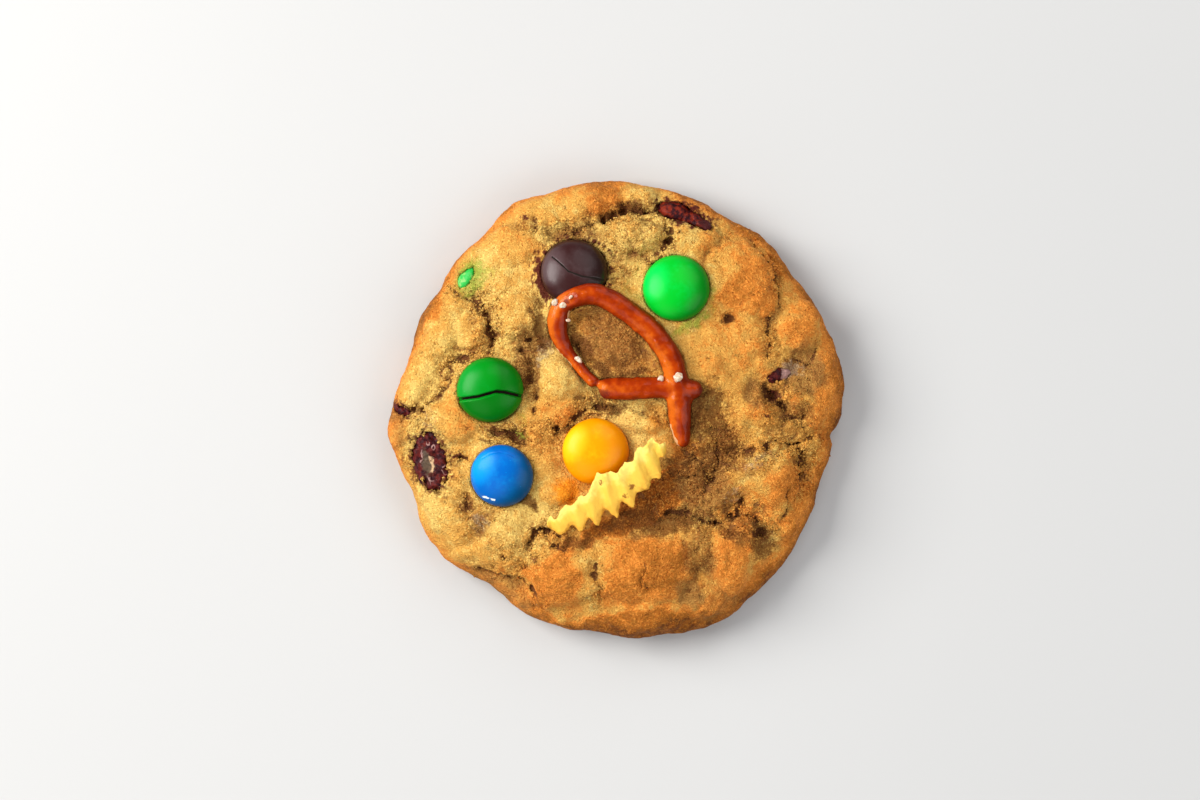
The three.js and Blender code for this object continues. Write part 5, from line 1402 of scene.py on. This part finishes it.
# %% Chunks
chunk_shapes = {"chocolate_top": tube(smooth_line(CHOCOLATE_STREAK, 0.2), 40, 1.0, STREAK_SLOPE)}
for k, name in enumerate(("chocolate_left", "chocolate_right", "chocolate_rim")):
    centre, half_sizes, turn, slope = CHUNKS[name]
    chunk_shapes[name] = lumpy_ball(centre, half_sizes, turn, 90, 140, 0.08, 1.8, k + 3, slope)

# %% Chocolate finish
CHOCOLATE_DARK, CHOCOLATE_RED = (0.032, 0.006, 0.009), (0.115, 0.014, 0.012)
CHOCOLATE_RUDDY, CHOCOLATE_GRIT = (0.22, 0.022, 0.008), (0.34, 0.07, 0.035)
CHOCOLATE_DRIED, CHOCOLATE_GLAZE = (0.06, 0.010, 0.010), (0.13, 0.095, 0.060)
PALE_PINK, MILKY = (0.44, 0.25, 0.22), (0.66, 0.43, 0.24)

cocoa = Finish("set_chocolate", Roughness=0.5, Specular_IOR_Level=0.10)
grit = cocoa.grain(0.5, 3.0, 0.65)
clot = cocoa.grain(1.1, 3.0, 0.6)
glaze = (cocoa.attribute("glaze") + (grit - 0.5) * 1.2).step(0.15, 1.05)
tone = cocoa.mix(clot.step(0.40, 0.62), CHOCOLATE_DARK, CHOCOLATE_RED)
coats = (
    (cocoa.attribute("ruddy") * clot.step(0.42, 0.66), CHOCOLATE_RUDDY),
    (grit.step(0.60, 0.76) * 0.4, CHOCOLATE_GRIT),
    (glaze * 0.85, CHOCOLATE_GLAZE),
    ((cocoa.attribute("pale_pink") + (grit - 0.5) * 0.7).step(0.45, 0.85) * 0.85, PALE_PINK),
    ((cocoa.attribute("milk") + (grit - 0.5) * 1.1).step(0.3, 0.9) * 0.85, MILKY),
    ((cocoa.attribute("dried") + (grit - 0.5) * 0.6).step(0.4, 1.0), CHOCOLATE_DRIED),
)
for coat, tint in coats:
    tone = cocoa.mix(coat, tone, tint)
cocoa.set("Base Color", tone)
cocoa.set("Roughness", grit * 0.4 + glaze * -0.15 + 0.2)
cocoa.bump(grit, 0.15)

# %% Clots, glaze and pale streaks on the chunks
LEFT_MIDDLE = (-38.0, -10.8, 3.6, 1.9, -72)  # its glossy middle has sunk
LEFT_GLAZE = (-38.6, -10.8, 3.2, 1.25, -76)
LEFT_RING = (-37.6, -10.8, 5.2, 2.9, -74)  # pale pinkish threads lie along it
LEFT_STREAK = (-38.1, -9.6, -37.7, -10.8, -37.9, -12.3)  # a pale streak along the middle
MIDDLE_DEPTH = 0.6

for name, (points, walls, caps) in chunk_shapes.items():
    out = point_normals(points, walls)
    px, py, up = points[:, 0], points[:, 1], out[:, 2] > 0
    rough = 0.30 * noise.soft(points, 1.5) + 0.22 * noise.soft(points, 0.7)
    chunk_masks = {mask: np.zeros(len(points)) for mask in ("glaze", "pale_pink", "milk", "dried", "ruddy")}
    if name == "chocolate_left":
        middle = inside(points, LEFT_MIDDLE, 0.5, 1.1, 0.3 * noise.soft(points, 1.4)) * up
        rough = 1.4 * rough - MIDDLE_DEPTH * middle
        chunk_masks["glaze"] = inside(points, LEFT_GLAZE, 0.3, 1.4, 0.4 * noise.soft(points, 1.0)) * up
        away = line_distance(px, py, LEFT_STREAK)[0] + 0.35 * noise.soft(points, 0.7)
        chunk_masks["milk"] = (1 - smoothstep(0.0, 0.75, away)) * up
        threads = smoothstep(0.3, 0.0, np.abs(noise.soft(points * (1, 0.7, 1), 1.1)))
        threads = threads * smoothstep(-0.5, 0.3, noise.soft(points + 30, 1.6))
        from_ring = (ellipse_distance(px, py, *LEFT_RING) - 0.8) / 0.3
        chunk_masks["pale_pink"] = threads * np.exp(-(from_ring**2)) * up
    if name == "chocolate_right":
        chunk_masks["pale_pink"] = smoothstep(32.2, 34.0, px) * up
    if name == "chocolate_top":
        chunk_masks["dried"], chunk_masks["ruddy"] = smoothstep(14, 18, px), np.ones(len(points))
    points = points + out * rough[:, None]
    chunk = mesh_object(name + "_chunk", points, walls, caps, masks=chunk_masks)
    dress(chunk, cocoa, "chocolate", name)

# %% [markdown]
# One more green drop lies just under the skin near the left edge, and shows only where the
# skin has torn.

# %% Green sliver
centre, half_sizes, turn, slope = CHUNKS["candy_green_sliver"]
sliver_shape = lumpy_ball(centre, half_sizes, turn, 40, 60, 0.06, 1.4, 9, slope)
sliver = mesh_object("green_sliver_shell", *sliver_shape)
wet = Finish("green_sliver", Roughness=0.45, Specular_IOR_Level=0.3)
SLIVER_GREEN, SLIVER_PALE = (0.02, 0.46, 0.06), (0.26, 0.55, 0.14)
wet.set("Base Color", wet.mix(wet.grain(1.1, 3.0).step(0.50, 0.7), SLIVER_GREEN, SLIVER_PALE))
wet.bump(wet.grain(0.5, 2.0), 0.12)
dress(sliver, wet, "green_shell", "candy_green_sliver")
